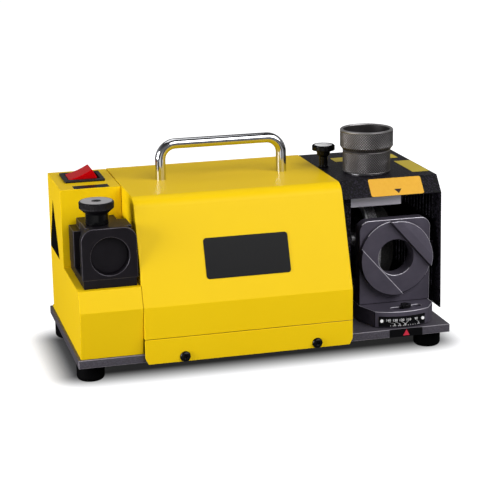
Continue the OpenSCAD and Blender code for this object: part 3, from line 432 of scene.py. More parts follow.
# %% Grid surfaces
def grid_piece(name, points, body, materials, *nodes, rows=None, slot=None, groove=None):
    """points[i, j] is the surface at the i-th section and j-th step around it. The first and the last
    section are a point each, or the same ring, so that the surface closes. rows gives each band of faces its
    material number, and groove is a value per point kept on the mesh."""
    n, m = points.shape[:2]
    i, j = np.meshgrid(np.arange(n - 1), np.arange(m), indexing="ij")
    k = (j + 1) % m
    quads = np.stack([i * m + j, i * m + k, (i + 1) * m + k, (i + 1) * m + j], axis=-1).reshape(-1, 4)
    mesh = bpy.data.meshes.new(name)
    mesh.from_pydata((points.reshape(-1, 3) * MM).tolist(), [], quads.tolist())
    for material in materials:
        mesh.materials.append(material)
    if rows is not None:
        mesh.polygons.foreach_set("material_index", np.repeat(np.asarray(rows, int), m))
    if groove is not None:
        depths = mesh.attributes.new("groove", "FLOAT", "POINT").data
        depths.foreach_set("value", groove.ravel().astype(np.float32))
    work = bmesh.new()
    work.from_mesh(mesh)
    bmesh.ops.remove_doubles(work, verts=work.verts, dist=1e-7)
    bmesh.ops.recalc_face_normals(work, faces=work.faces)
    work.to_mesh(mesh)
    work.free()
    mesh.polygons.foreach_set("use_smooth", np.ones(len(mesh.polygons), bool))
    mesh.set_sharp_from_angle(angle=math.radians(35))
    piece = bpy.data.objects.new(name, mesh)
    bpy.context.scene.collection.objects.link(piece)
    return settle(piece, body, *nodes, slot=slot)


print("grid surfaces have their doubles merged at 0.0001 mm")

# %% [markdown]
# A lathe piece is drawn as half of its section: corners with a radius each, as on a workshop drawing. The
# corners could be bevelled afterwards, but rounding the profile costs a few points and works at every size.

# %% Profiles
def rounded(corners, steps=4):
    """A profile with its corners (r, z, radius) rounded. p and q are where that radius would touch the two
    sides, and the curve between them is (1 - t)^2 p + 2 t (1 - t) corner + t^2 q, with t from 0 to 1."""
    corners = np.asarray(corners, float)
    line = [corners[0, :2]]
    for a, b, c in zip(corners[:-2], corners[1:-1], corners[2:]):
        to_a, to_c = a[:2] - b[:2], c[:2] - b[:2]
        la, lc = np.linalg.norm(to_a), np.linalg.norm(to_c)
        to_a, to_c = to_a / la, to_c / lc
        half = math.acos(np.clip(to_a @ to_c, -1, 1)) / 2
        cut = min(b[2] / math.tan(half), la * 0.49, lc * 0.49) if b[2] > 0 and half < 1.56 else 0.0
        if cut == 0:
            line.append(b[:2])
            continue
        t = np.linspace(0, 1, steps + 1)[:, None]
        p, q = b[:2] + to_a * cut, b[:2] + to_c * cut
        line.extend((1 - t) ** 2 * p + 2 * t * (1 - t) * b[:2] + t ** 2 * q)
    line.append(corners[-1, :2])
    return np.array(line)


def finer(profile, step):
    """Adds points along a profile so that no two are further apart than step."""
    run = np.concatenate([[0], np.cumsum(np.linalg.norm(np.diff(profile, axis=0), axis=1))])
    keep = np.unique(np.concatenate([run, np.arange(0, run[-1], step)]))
    return np.column_stack([np.interp(keep, run, profile[:, 0]), np.interp(keep, run, profile[:, 1])])


def middles(profile):
    """The middle (r, z) of each step of a profile, which says what band of faces it makes."""
    return (profile[:-1] + profile[1:]) / 2


print("a square corner with a 1 mm radius takes", len(rounded([(0, 0, 0), (9, 0, 1), (9, 9, 0)])), "points")

# %% [markdown]
# Turning carries a profile round an axis, as a lathe does. A function may press the surface in on the way,
# which is how knurls and flutes are made. Every profile takes its outer sizes from its CAD node's box.

# %% Turning and measuring
def turn(profile, centre, count, press=None):
    """Point (v, u) = centre + r(v) (cos u, sin u) at height z(v); press(u, r, z) is taken off the radius."""
    u = np.linspace(0, 2 * np.pi, count, endpoint=False)[None, :]
    r, z = profile[:, :1], profile[:, 1:]
    radius = r - (press(u, r, z) if press else 0 * u)
    return np.stack([centre[0] + radius * np.cos(u), centre[1] + radius * np.sin(u), z + 0 * u], axis=-1)


def saw(x):
    """Triangle wave: 0 at whole numbers, 1 half way between."""
    return 1 - np.abs(2 * (x - np.floor(x)) - 1)


def mm_box(node):
    """A CAD node's lowest and highest corners, in millimetres."""
    low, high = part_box(node)
    return np.array(low) / MM, np.array(high) / MM


print("chuck nut, millimetres:", [corner.round(1).tolist() for corner in mm_box("chuck_nut")])

# %% [markdown]
# The chuck's two rings are knurled: a tool rolls crossed grooves into the steel and leaves small diamonds. A
# bump in the material would be cheaper, but the outline against the white would stay smooth. So two triangle
# waves climb round the ring in opposite ways, and the lower of the two is the height. The diamonds are about
# 2.5 mm across, as coarse as they need to be to show from here.

# %% Knurl as a function
def knurl(teeth, pitch, depth, low, high, ring_r):
    """Depth taken off the radius: full at a groove, none on a diamond's tip, and none outside low..high."""
    def press(u, r, z):
        a, b = teeth * u / (2 * np.pi) + z / pitch, teeth * u / (2 * np.pi) - z / pitch
        inside = np.clip((z - low) / 0.4, 0, 1) * np.clip((high - z) / 0.4, 0, 1) * (r > ring_r - 2.6)
        return depth * (1 - np.minimum(saw(a), saw(b))) * inside
    return press


def grooves(profile, count, press, depth):
    """The knurl's own depth at each point of the turned grid, from 0 on a tip to 1 in a groove."""
    u = np.linspace(0, 2 * np.pi, count, endpoint=False)[None, :]
    return press(u, profile[:, :1], profile[:, 1:]) / depth + 0 * u


def paint_groove_shade(mat):
    """Painted shade in a knurl: the mesh's groove value, 0 on a tip and 1 in a groove, darkens the colour."""
    tree = mat.node_tree
    shader = tree.nodes["Principled BSDF"]
    clean = shader.inputs["Base Color"].links[0].from_socket
    groove = add(tree, "Attribute", {"attribute_name": "groove"})
    groove_shade = add(tree, "MixRGB", None, {0: groove.outputs["Fac"], 1: clean, 2: linear("#1E1C1C")})
    tree.links.new(groove_shade.outputs[0], shader.inputs["Base Color"])


paint_groove_shade(knurled_steel)
paint_groove_shade(knurled_shaded)
knurl_pitch, points_per_tooth, wall_step = 2.6, 8, 0.32
print("knurl pitch", knurl_pitch, "mm,", points_per_tooth, "points to a tooth")

# %% [markdown]
# The upper ring is the nut that closes the collet: a wide knurled ring with a cone underneath and a deep
# bore. It could be a cylinder with bevels and a hole cut in it; one turned profile gives the cone, the rim
# and the bore together, with clean faces. The rim is rubbed brighter by hands, and the bore is darkened as
# painted shade.

# %% Upper knurled ring
nut_low, nut_high = mm_box("chuck_nut")
chuck_xy = (nut_low[:2] + nut_high[:2]) / 2
nut_r = (nut_high[0] - nut_low[0]) / 2
nut_foot, nut_top = nut_low[2], nut_high[2]
thread_r, nut_bore_r = 19.05, nut_r - 3.2
nut_profile = finer(rounded([
    (thread_r, nut_foot + 9, 0), (thread_r, nut_foot, 0.3), (23.2, nut_foot, 0.3),
    (nut_r, nut_foot + 3.4, 0.6), (nut_r, nut_top - 0.9, 0.4), (nut_r - 0.9, nut_top, 0.3),
    (nut_r - 2.4, nut_top, 0.3), (nut_bore_r, nut_top - 1.4, 0.4), (nut_bore_r, nut_foot + 10, 0.5),
    (thread_r, nut_foot + 9, 0)]), wall_step)
nut_teeth, nut_depth = 66, 0.55
nut_count = nut_teeth * points_per_tooth
nut_knurl = knurl(nut_teeth, knurl_pitch, nut_depth, nut_foot + 0.5, nut_top - 1.5, nut_r)
nut_r_mid, nut_z_mid = middles(nut_profile).T
bore = (nut_r_mid < nut_r - 3) | (nut_z_mid < nut_foot + 1.6)
rim = (nut_z_mid > nut_top - 1.2) & ~bore
grid_piece("chuck_nut_knurled", turn(nut_profile, chuck_xy, nut_count, nut_knurl), "nut",
           [knurled_steel, rim_steel, shaded_bore_steel], "chuck_nut", rows=rim + 2 * bore,
           groove=grooves(nut_profile, nut_count, nut_knurl, nut_depth))
print("upper ring: radius", round(nut_r, 2), "mm")

# %% [markdown]
# The lower ring sits on the port's bush, with a smooth nose below it that fits the bore. It could be one
# piece with the nut, but the nut turns on it. So it is turned from its own profile, with a gap of 0.3 mm to
# the nut above and to the bush below, as in the CAD model.

# %% Lower knurled ring
body_low, body_high = mm_box("chuck_body")
ring_r = (body_high[0] - body_low[0]) / 2
ring_gap, nose_r, collet_r = 0.3, 17.65, 13
seat, ring_top = mm_box("top_port_bush")[1][2] + ring_gap, nut_foot - ring_gap
body_profile = finer(rounded([
    (collet_r, body_low[2] + 1, 0), (collet_r, body_low[2], 0.3), (nose_r, body_low[2], 0.6),
    (nose_r, seat, 0.1), (ring_r - 0.8, seat, 0.2), (ring_r, seat + 0.8, 0.3), (ring_r, ring_top - 0.8, 0.3),
    (ring_r - 0.8, ring_top, 0.3), (19, ring_top, 0.1), (19, body_high[2], 0.4),
    (collet_r, body_high[2], 0.4), (collet_r, body_low[2] + 1, 0)]), wall_step)
body_teeth, body_depth = 60, 0.5
body_count = body_teeth * points_per_tooth
body_knurl = knurl(body_teeth, knurl_pitch, body_depth, seat + 0.8, ring_top - 0.8, ring_r)
smooth_nose = middles(body_profile)[:, 0] < ring_r - 1.5
grid_piece("chuck_body_knurled", turn(body_profile, chuck_xy, body_count, body_knurl), "chuck",
           [knurled_shaded, turned_steel], "chuck_body", rows=smooth_nose,
           groove=grooves(body_profile, body_count, body_knurl, body_depth))
print("lower ring: radius", round(ring_r, 2), "mm")

# %% [markdown]
# The gauge is clamped by a knob with a straight-knurled rim, a plain neck and a bright faced top. Its profile
# comes from the CAD knob, with every corner given a radius. The flutes could be 64 cuts with a boolean, but
# a cosine taken off the radius gives the same rounded flutes with clean faces.

# %% Gauge clamp knob
knob_low, knob_high = mm_box("gauge_knob")
knob_xy = (knob_low[:2] + knob_high[:2]) / 2
knob_r, knob_top = (knob_high[0] - knob_low[0]) / 2, knob_high[2]
shoulder, flute_foot = knob_top - 11.2, knob_top - 6.2
flute_count, flute_depth, socket_r = 64, 0.32, 3.6
knob_profile = finer(rounded([
    (0, knob_low[2], 0), (4, knob_low[2], 0.3), (4, shoulder - 10, 0.1), (10.5, shoulder - 10, 0.4),
    (10.5, shoulder, 0.8), (11.5, shoulder + 1, 1.0), (knob_r - 0.6, flute_foot - 0.6, 0.8),
    (knob_r, flute_foot, 0.4), (knob_r, knob_top - 0.9, 0.4), (knob_r - 0.9, knob_top, 0.3),
    (socket_r, knob_top, 0.3), (socket_r - 0.2, knob_top - 3.0, 0.1), (0, knob_top - 3.0, 0)]), 0.45)


def flutes(u, r, z):
    """Straight knurl: shallow grooves that follow a cosine round the rim, none elsewhere."""
    up, down = np.clip((z - flute_foot) / 0.5, 0, 1), np.clip((knob_top - 0.8 - z) / 0.5, 0, 1)
    return flute_depth * (0.5 - 0.5 * np.cos(flute_count * u)) * up * down * (r > knob_r - 1)


r_mid, z_mid = middles(knob_profile).T
faced = (z_mid > knob_top - 0.3) & (r_mid < knob_r - 1.7) & (r_mid > 4.4)
neck = z_mid < shoulder + 0.4
grid_piece("gauge_knob_turned", turn(knob_profile, knob_xy, 6 * flute_count, flutes), "clamp_knob",
           [knob_metal, bright_face, gloss_black], "gauge_knob",
           rows=np.where(faced, 1, np.where(neck, 2, 0)))
print("gauge knob radius", round(knob_r, 2), "mm")

# %% [markdown]
# The small thumb knob on the chamber cover is moulded in black phenolic, with a white disc let into its top.
# Both are turned shapes, so two profiles are all they need. The ring round the disc is left dull, because a
# polished one would mirror the white surround and vanish.

# %% Thumb knob
thumb_low, thumb_high = mm_box("cover_knob")
thumb_xy = (thumb_low[:2] + thumb_high[:2]) / 2
foot, top = thumb_low[2], thumb_high[2]
thumb_r, disc_r, disc_deep = (thumb_high[0] - thumb_low[0]) / 2, 8.6, 0.55
thumb_profile = finer(rounded([
    (0, foot, 0), (2.95, foot, 0.3), (2.95, foot + 12, 0.1), (5, foot + 12, 0.3), (5, foot + 13.5, 0.3),
    (4.2, foot + 14.5, 0.6), (4.2, foot + 23, 0.8), (6.4, foot + 25, 0.6), (6.8, foot + 28.5, 0.6),
    (thumb_r, foot + 29.5, 0.6), (thumb_r, top - 0.8, 0.7), (thumb_r - 0.8, top, 0.3),
    (disc_r + 0.15, top, 0.2), (disc_r + 0.1, top - 0.6, 0.1), (0, top - 0.6, 0)]), 0.6)
r_mid, z_mid = middles(thumb_profile).T
grid_piece("thumb_knob", turn(thumb_profile, thumb_xy, 128), "top_knob", [gloss_black, rubber], "cover_knob",
           rows=(z_mid > top - 0.7) & (r_mid > disc_r))
disc_profile = rounded([(0, top - disc_deep, 0), (disc_r, top - disc_deep, 0.1), (disc_r, top - 0.05, 0.15),
                        (0, top - 0.05, 0)])
grid_piece("thumb_disc", turn(disc_profile, thumb_xy, 96), "top_knob", [white_disc], "cover_knob_cap")
print("thumb knob radius", round(thumb_r, 2), "mm, disc radius", disc_r, "mm")

# %% [markdown]
# The carrying handle is a 10 mm steel rod, bent twice and chrome plated. A bevelled curve object would do,
# but it makes its own ends and spacing. Here the centre line is a leg and a quarter circle, the bar, and the
# first two mirrored, and the surface is a circle carried along it, square to it all the way.

# %% Carrying handle
handle_low, handle_high = mm_box("carry_handle")
rod_r, bend_r = 5.0, 15.0
left, right = handle_low[0] + rod_r, handle_high[0] - rod_r
crown, rod_y = handle_high[2] - rod_r, (handle_low[1] + handle_high[1]) / 2
quarter = np.linspace(0, np.pi / 2, 25)
leg = np.linspace(handle_low[2], crown - bend_r, 12)[:-1]
side = np.column_stack([np.full_like(leg, left), leg])
arc = np.column_stack([left + bend_r - bend_r * np.cos(quarter), crown - bend_r + bend_r * np.sin(quarter)])
span = np.linspace(left + bend_r, right - bend_r, 24)[1:-1]
bar = np.column_stack([span, np.full_like(span, crown)])
half = np.concatenate([side, arc])
mirror = np.column_stack([left + right - half[::-1, 0], half[::-1, 1]])
line = np.concatenate([half, bar, mirror])
ahead = np.gradient(line, axis=0)
ahead /= np.linalg.norm(ahead, axis=1)[:, None]
around = np.linspace(0, 2 * np.pi, 48, endpoint=False)


def ring(centre, direction, radius):
    """Circle round a point of the centre line: one axis is Y, the other is square to the direction."""
    c, s = np.cos(around)[None, :] * radius, np.sin(around)[None, :] * radius
    x = centre[:, :1] - direction[:, 1:] * c
    z = centre[:, 1:] + direction[:, :1] * c
    return np.stack([x, rod_y + s + 0 * x, z], axis=-1)


pole, rim_break = 1e-6, 0.4
first = [ring(line[:1], ahead[:1], r) for r in (pole, rod_r - rim_break)]
last = [ring(line[-1:], ahead[-1:], r) for r in (rod_r - rim_break, pole)]
tube = np.concatenate(first + [ring(line, ahead, rod_r)] + last)
grid_piece("carry_handle_rod", tube, "machine", [chrome], "carry_handle")
print("handle span", round(right - left, 2), "mm")

# %% [markdown]
# The grinding wheel is a short cylinder that runs into a cone. A drill that lies square to the motor's axis
# meets the cone at 59 degrees, half of its usual point angle. The wheel could be turned straight about X, but
# laying a finished grid over from Z to X keeps one turning function for every lathe piece.

# %% Grinding wheel
wheel_low, wheel_high = mm_box("grinding_wheel")
wheel_r, x0, x1 = (wheel_high[2] - wheel_low[2]) / 2, wheel_low[0], wheel_high[0]
axis_y, axis_z = (wheel_low[1] + wheel_high[1]) / 2, (wheel_low[2] + wheel_high[2]) / 2
land, half_point, hub_r, cup_deep = 10, math.radians(59), 5, 8
cone_r = wheel_r - (x1 - x0 - land) / math.tan(half_point)
wheel_profile = finer(rounded([
    (hub_r, x0 + 1, 0), (hub_r, x0, 0.2), (wheel_r, x0, 1.2), (wheel_r, x0 + land, 0.8), (cone_r, x1, 0.5),
    (cone_r - 8, x1, 0.4), (cone_r - 10, x1 - cup_deep, 0.4), (hub_r, x1 - cup_deep, 0.1),
    (hub_r, x0 + 1, 0)]), 1.5)
lathe = turn(wheel_profile, (0.0, 0.0), 160)
wheel_points = np.stack([lathe[..., 2], axis_y + lathe[..., 0], axis_z + lathe[..., 1]], axis=-1)
r_mid, x_mid = middles(wheel_profile).T
steel = (x_mid < x0 + 0.4) | (r_mid < cone_r - 7.8)
# The cup's edge is painted nearly white as a painted highlight.
rim_highlight = (x_mid < x0 + 1.6) & (r_mid > wheel_r - 6)
# The outer band takes the lighter abrasive as painted highlight; the cone keeps the dark one as painted
# shade.
band = r_mid > wheel_r - 0.9
grid_piece("grinding_wheel_turned", wheel_points, "rotor", [abrasive, turned_steel, wheel_rim_highlight, abrasive_band],
           "grinding_wheel", rows=np.where(rim_highlight, 2, np.where(band, 3, steel.astype(int))))
print("wheel radius", round(wheel_r, 2), "mm, cone's small end", round(cone_r, 2), "mm")

# %% [markdown]
# Labels are thin films with a straight edge. A texture on the cover would need an unwrapped map, and it blurs
# when it is seen close by; a film is its own small piece. A label is star-shaped about its centre, so its
# grid runs from the centre out to the outline, over the edge and back under to the centre.

# %% Label surfaces
film_mm = 0.12


def rounded_outline(width, height, radius, steps=8):
    """Outline of a rectangle with corner arcs, centred on (0, 0)."""
    turnings = np.linspace(0, np.pi / 2, steps)
    parts = []
    for k, (sx, sy) in enumerate([(1, 1), (-1, 1), (-1, -1), (1, -1)]):
        a = turnings + k * np.pi / 2
        parts.append(np.column_stack([sx * (width / 2 - radius) + radius * np.cos(a),
                                      sy * (height / 2 - radius) + radius * np.sin(a)]))
    return np.concatenate(parts)


def label(name, outline, place, thick, material, body, slot=None):
    """Film of the outline: place maps (x, y, lift) in millimetres to the row frame. Centre, edge, under."""
    outline = np.asarray(outline, float)
    centre = outline.mean(axis=0)
    sections = [(pole, thick), (0.5, thick), (1.0, thick), (1.0, 0.0), (pole, 0.0)]
    points = np.stack([place(*(centre + (outline - centre) * t).T, lift) for t, lift in sections])
    return grid_piece(name, points, body, [material], slot=slot)


def flat(origin, across, up, out):
    """Place for a flat film: origin + x across + y up + lift out, with all three of length one."""
    origin, across, up, out = (np.asarray(v, float) for v in (origin, across, up, out))
    return lambda x, y, lift: origin + x[:, None] * across + y[:, None] * up + lift * out


def on_top(x, y, z):
    """Place for a film that lies level at height z, with its middle at (x, y)."""
    return flat((x, y, z), (1, 0, 0), (0, 1, 0), (0, 0, 1))


print("films are", film_mm, "mm thick")

# %% [markdown]
# Two yellow films lie on the black chamber's top, and an amber one on the sloping strip in front, with a
# small pointer to the port. Their words are left out, and their size and place are kept. The strip's slope
# could be typed in as an angle; it comes from its two edges, so that the film lies flat on the sheet.

# %% Chamber labels
crinkle = "black_crinkle_paint"
roof = mm_box("chamber_cover")[1][2]
strip_top, strip_foot = np.array([-50.0, roof]), np.array([-63.0, roof - 15.0])
fall = (strip_top - strip_foot) / np.linalg.norm(strip_top - strip_foot)
strip_y, strip_z = (strip_top + strip_foot) / 2
strip_at = flat((136.0, strip_y, strip_z), (1, 0, 0), (0, fall[0], fall[1]), (0, -fall[1], fall[0]))
label("strip_label", rounded_outline(53.0, 19.0, 1.8), strip_at, film_mm, amber_film, "machine", crinkle)
arrow = [(-2.6, -2.6), (1.2, -7.4), (5.0, -2.6)]
label("strip_pointer", arrow, strip_at, film_mm + 0.05, brown_ink, "machine", crinkle)
for name, (x, y), (wide, long) in [("roof_label_right", (170.5, -6.5), (17.0, 53.0)),
                                   ("roof_label_rear", (139.2, 45.0), (66.5, 18.0))]:
    label(name, rounded_outline(wide, long, 1.0), on_top(x, y, roof), film_mm, yellow_film, "machine",
          crinkle)
print("labels on the chamber cover at height", round(roof, 1), "mm")

# %% [markdown]
# The switch has a black strip in front of it, and the box's left side a three-cornered film. Both are bare,
# because what such films say is a maker's own. They are made like the others, flat on the powder coat.

# %% Switch box labels
box_low, box_high = mm_box("switch_box")
label("switch_strip", rounded_outline(33.6, 12.6, 0.8), on_top(-146.9, 5.0, box_high[2]), film_mm, black_film,
      "machine", "yellow_paint")
side_at = flat((box_low[0], 50.0, 109.0), (0, -1, 0), (0, 0, 1), (-1, 0, 0))
label("side_film", [(-29.0, -17.0), (29.0, -17.0), (0.0, 35.0)], side_at, film_mm, matt_film, "machine",
      "yellow_paint")
print("switch box labels placed")

# %% [markdown]
# The port's angle is read where a red pointer on the base meets the scale on the swivel's round front. The
# pointer is a film of its own on the base's front edge, so it stays still while the scale turns.

# %% Pointer on the base
base_low, base_high = mm_box("base_plate")
pointer_x = 135.1
edge_at = flat((pointer_x, base_low[1], (base_low[2] + base_high[2]) / 2), (1, 0, 0), (0, 0, 1), (0, -1, 0))
label("pointer_film", rounded_outline(33.4, 7.8, 0.3), edge_at, film_mm, black_film, "machine", "black_plate")
label("pointer_mark", [(-2.9, -2.9), (3.7, -2.9), (0.4, 3.1)], edge_at, film_mm + 0.08, red_ink, "machine",
      "black_plate")
print("pointer at x =", pointer_x, "mm")

# %% [markdown]
# The scale is a black plate bent round the swivel's front. Its figures are Blender text, turned into a mesh
# first and then bent: x becomes an angle about the pivot, y the height, and the lift stands out of the
# plate. A Curve modifier could bend them, but here the same function bends figures and lines alike.

# %% Bending round the swivel
plate_low = mm_box("scale_plate")[0]
swivel_joint = next(j for j in frame["record"]["behaviour"]["joints"] if j["name"] == "port_swivel")
pivot = np.array(swivel_joint["pos_m"][:2]) / MM
scale_r, scale_foot = pivot[1] - plate_low[1], plate_low[2]


def round_front(x, y, lift):
    """Bends (x, y): the angle is x over the radius, zero straight in front, and y is the height."""
    a, r = x / scale_r, scale_r + lift
    return np.column_stack([pivot[0] + r * np.sin(a), pivot[1] - r * np.cos(a), y])


def figure(text, x, y, size):
    """One number of the scale, as a mesh, centred at arc length x and height y."""
    curve = bpy.data.curves.new("figure", "FONT")
    curve.body, curve.size, curve.extrude, curve.resolution_u = text, size, 0.05, 3
    curve.align_x = "CENTER"
    holder = bpy.data.objects.new("figure", curve)
    bpy.context.scene.collection.objects.link(holder)
    bpy.context.view_layer.update()
    mesh = bpy.data.meshes.new_from_object(holder.evaluated_get(bpy.context.evaluated_depsgraph_get()))
    bpy.data.objects.remove(holder)
    co = np.zeros(len(mesh.vertices) * 3)
    mesh.vertices.foreach_get("co", co)
    co = co.reshape(-1, 3)
    bent = round_front(x + co[:, 0], y + co[:, 1], co[:, 2] + 0.06)
    mesh.vertices.foreach_set("co", (bent * MM).ravel())
    mesh.materials.clear()
    mesh.materials.append(white_ink)
    mesh.update()
    piece = bpy.data.objects.new("figure_" + text, mesh)
    bpy.context.scene.collection.objects.link(piece)
    return settle(piece, "swivel", slot="black_plate")


print("scale radius", round(scale_r, 2), "mm about", pivot.round(2))

# %% [markdown]
# The scale gives a drill's point angle, so 118 stands at the middle and each other figure at half of its
# difference. The figures are spread out to stay apart, and a slanting leader joins each to its line. Fine
# lines every 2.5 degrees run along the plate's foot.

# %% Scale figures and lines
def scale_line(name, outline):
    """A thin white line of the scale, bent round the swivel's front."""
    return label(name, outline, round_front, ink_mm, white_ink, "swivel", "black_plate")


ink_mm, fine_step = 0.06, 2.5
marks = [("140", -11, -17.2), ("130", -6, -10.6), ("120", -1, -4.2), ("118", 0, 2.8), ("90", 14, 11.0)]
for text, degrees, x in marks:
    figure(text, x, scale_foot + 5.3, 3.4)
    tick = math.radians(degrees) * scale_r
    scale_line("tick_" + text, rounded_outline(0.5, 2.4, 0.1, 3) + (tick, scale_foot + 1.8))
    scale_line("leader_" + text, [(x - 0.2, scale_foot + 4.9), (x + 0.2, scale_foot + 4.9),
                                  (tick + 0.2, scale_foot + 2.9), (tick - 0.2, scale_foot + 2.9)])
for k in range(13):
    arc_mm = math.radians(fine_step * (k - 6)) * scale_r
    scale_line("fine_tick_" + str(k), rounded_outline(0.35, 1.1, 0.1, 3) + (arc_mm, scale_foot + 0.95))
print(len(marks), "angles marked")

# %% [markdown]
# The stage is one large white floor, a plain square far wider than the camera sees. A curved sweep of paper
# would also do, but the surround behind it is white anyway, so nothing would show where the paper bends up.

# %% Floor
floor_mesh = bpy.data.meshes.new("floor")
floor_mesh.from_pydata([(-6, -6, 0), (6, -6, 0), (6, 6, 0), (-6, 6, 0)], [], [(0, 1, 2, 3)])
floor = bpy.data.objects.new("floor", floor_mesh)
bpy.context.scene.collection.objects.link(floor)
paper = bpy.data.materials.new("white paper sweep")
paper.use_nodes = True
tree = paper.node_tree
tree.nodes.clear()
rays = add(tree, "LightPath")
spot = add(tree, "SeparateXYZ", None, {0: add(tree, "TexCoord").outputs["Object"]})
ease, times = {"interpolation_type": "SMOOTHSTEP"}, {"operation": "MULTIPLY"}
print("floor 12 m square")

# %% [markdown]
# The floor could be lit until it is white, but then the machine would be too bright as well. So it glows for
# the camera, and near the machine the glow fades out and leaves plain matt paper that takes the soft
# shadow. Close under the base hardly any light comes in, so the paper is darkened there by how much of its
# sky is covered.

# %% Shadow on the floor
def beyond(value, reach, share):
    """How far a coordinate lies outside the machine's footprint, times a share; zero inside it."""
    size = add(tree, "Math", {"operation": "ABSOLUTE"}, {0: value})
    far = add(tree, "Math", {"operation": "SUBTRACT"}, {0: size.outputs[0], 1: reach})
    kept_far = add(tree, "Math", {"operation": "MAXIMUM"}, {0: far.outputs[0], 1: 0.0})
    return add(tree, "Math", times, {0: kept_far.outputs[0], 1: share}).outputs[0]


outside = add(tree, "CombineXYZ", None,
              {0: beyond(spot.outputs[0], 0.178, 1.1), 1: beyond(spot.outputs[1], 0.055, 0.85)})
away = add(tree, "VectorMath", {"operation": "LENGTH"}, {0: outside.outputs[0]})
fade = add(tree, "MapRange", ease, {0: away.outputs["Value"], 1: -0.004, 2: 0.043, 3: 0.0, 4: 0.99})
seen = add(tree, "Math", times, {0: rays.outputs["Is Camera Ray"], 1: fade.outputs[0]})
paper_colour = add(tree, "MixRGB", None,
                   {0: rays.outputs["Is Camera Ray"], 1: (0.4, 0.4, 0.4, 1), 2: (0.45, 0.45, 0.47, 1)})
contact = add(tree, "AmbientOcclusion", {"samples": 16}, {"Distance": 0.06})
deep = add(tree, "Math", {"operation": "POWER"}, {0: contact.outputs["AO"], 1: 1.5})
print("the shadow fades out 43 mm from the machine")

# %% [markdown]
# Chrome and turned steel show the floor. If all of it were white they would look flat, so reflections see two
# white cards in front of the machine, to the left and to the right, on a darker table, as in a studio.

# %% Cards for reflections
sides = []
for start, full, falling, end in [(-0.05, -0.14, -0.6, -0.75), (0.38, 0.44, 0.56, 0.62)]:
    begins = add(tree, "MapRange", ease, {0: spot.outputs[0], 1: start, 2: full})
    ends = add(tree, "MapRange", ease, {0: spot.outputs[0], 1: end, 2: falling})
    sides.append(add(tree, "Math", times, {0: begins.outputs[0], 1: ends.outputs[0]}).outputs[0])
either = add(tree, "Math", {"operation": "MAXIMUM"}, {0: sides[0], 1: sides[1]})
in_front = add(tree, "MapRange", ease, {0: spot.outputs[1], 1: -0.1, 2: -0.25})
cards = add(tree, "Math", times, {0: either.outputs[0], 1: in_front.outputs[0]})
mirror_light = add(tree, "MapRange", None, {0: cards.outputs[0], 3: 0.0, 4: 0.8})
lift = add(tree, "Math", {"operation": "MULTIPLY_ADD"},
           {0: rays.outputs["Is Glossy Ray"], 1: mirror_light.outputs[0], 2: seen.outputs[0]})
dim = add(tree, "MapRange", None, {0: rays.outputs["Is Glossy Ray"], 3: deep.outputs[0], 4: 0.3})
shaded = add(tree, "MixRGB", {"blend_type": "MULTIPLY"},
             {0: 1.0, 1: paper_colour.outputs[0], 2: dim.outputs[0]})
matt = add(tree, "BsdfDiffuse", None, {"Color": shaded.outputs[0]})
glow = add(tree, "Emission", None, {"Color": (1, 1, 1, 1), "Strength": lift.outputs[0]})
joined = add(tree, "AddShader", None, {0: matt.outputs[0], 1: glow.outputs[0]})
add(tree, "OutputMaterial", None, {"Surface": joined.outputs[0]})
floor_mesh.materials.append(paper)
print(len(sides), "cards for reflections")

# %% [markdown]
# Round it all the camera sees plain white. Metal and clear parts see a pale surround, lighter behind the
# machine and fading overhead, and its weak light fills the shadows. One even white dome would be simpler,
# but it would light the machine from all sides and flatten its shape.

# %% Surround
world = bpy.data.worlds.new("white surround")
world.use_nodes = True
bpy.context.scene.world = world
tree = world.node_tree
tree.nodes.clear()
rays = add(tree, "LightPath")
axis = add(tree, "SeparateXYZ", None, {0: add(tree, "TexCoord").outputs["Generated"]})
behind = add(tree, "MapRange", ease, {0: axis.outputs[1], 1: -0.35, 2: 0.5, 3: 0.10, 4: 0.16})
above = add(tree, "MapRange", ease, {0: axis.outputs[2], 1: 0.25, 2: 0.8, 3: 1.0, 4: 0.25})
sweep = add(tree, "Math", times, {0: behind.outputs[0], 1: above.outputs[0]})
mirrored = add(tree, "Math", {"operation": "MAXIMUM"},
               {0: rays.outputs["Is Glossy Ray"], 1: rays.outputs["Is Transmission Ray"]})
share = add(tree, "MapRange", None, {0: mirrored.outputs[0], 3: 0.7, 4: 1.8})
around_it = add(tree, "Math", times, {0: sweep.outputs[0], 1: share.outputs[0]})
level = add(tree, "Math", {"operation": "MAXIMUM"},
            {0: around_it.outputs[0], 1: rays.outputs["Is Camera Ray"]})
sky = add(tree, "Background", None, {"Color": (1, 1, 1, 1), "Strength": level.outputs[0]})
add(tree, "OutputWorld", None, {"Surface": sky.outputs[0]})
print("stage ready")

# %% [markdown]
# Three soft boxes light the machine, as in a studio. The key stands high on the right in front, so the
# sloping front is bright and the left side falls off. The fill is low on the left and opens that side, and a
# weak one overhead lifts the tops. A sun lamp would be simpler, but its hard shadows look like outdoors.

# %% Lamps
middle_of_machine = (0.0, 0.0, 0.1)


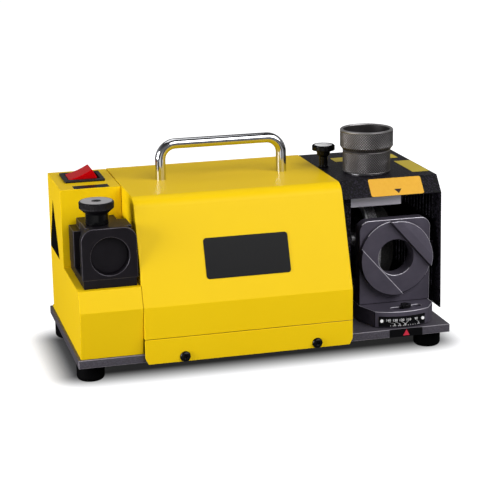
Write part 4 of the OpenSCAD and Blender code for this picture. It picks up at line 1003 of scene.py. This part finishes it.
def soft_lamp(name, place, width, height, power):
    """A soft box that looks from place to the machine's middle; it isn't seen by the camera."""
    data = bpy.data.lights.new(name, "AREA")
    data.shape, data.size, data.size_y, data.energy = "RECTANGLE", width, height, power
    lamp = bpy.data.objects.new(name, data)
    bpy.context.scene.collection.objects.link(lamp)
    direction = Vector(middle_of_machine) - Vector(place)
    lamp.location = place
    lamp.rotation_euler = direction.to_track_quat("-Z", "Y").to_euler()
    lamp.visible_camera = False
    return lamp


for name, place, wide, tall, watts in [("key", (0.85, -1.35, 1.35), 2.4, 1.2, 46),
                                       ("fill", (-1.7, -0.4, 0.42), 0.9, 0.8, 29),
                                       ("overhead", (-0.2, 0.6, 1.8), 1.2, 1.2, 6)]:
    soft_lamp(name, place, wide, tall, watts)
    print(name, "lamp:", watts, "W over", wide, "x", tall, "m")

# %% [markdown]
# The camera stands to the left of the machine and above it, and looks slightly down along its length. A long
# lens from 1.5 m away keeps the edges nearly parallel, as a catalogue picture does. Its three angles are
# worked out into axes here, because that keeps the small roll exact; a Track To constraint would level it.

# %% Camera
yaw, pitch, roll = (math.radians(v) for v in (15.06, 15.14, -0.86))
stand, lens_mm, sensor_mm = (-0.37409, -1.41336, 0.48727), 111.75, 36.0
ahead = np.array([math.sin(yaw) * math.cos(pitch), math.cos(yaw) * math.cos(pitch), -math.sin(pitch)])
level = np.array([math.cos(yaw), -math.sin(yaw), 0.0])
upward = np.cross(level, ahead)
right_axis = level * math.cos(roll) + upward * math.sin(roll)
up_axis = -level * math.sin(roll) + upward * math.cos(roll)
camera_data = bpy.data.cameras.new("camera")
camera_data.lens, camera_data.sensor_width = lens_mm, sensor_mm
camera = bpy.data.objects.new("camera", camera_data)
bpy.context.scene.collection.objects.link(camera)
turned = Matrix([list(r) for r in np.column_stack([right_axis, up_axis, -ahead])])
camera.matrix_world = Matrix.Translation(stand) @ turned.to_4x4()
bpy.context.scene.camera = camera
bpy.context.scene.view_settings.view_transform = "Standard"
print("camera at", [round(v, 3) for v in stand])
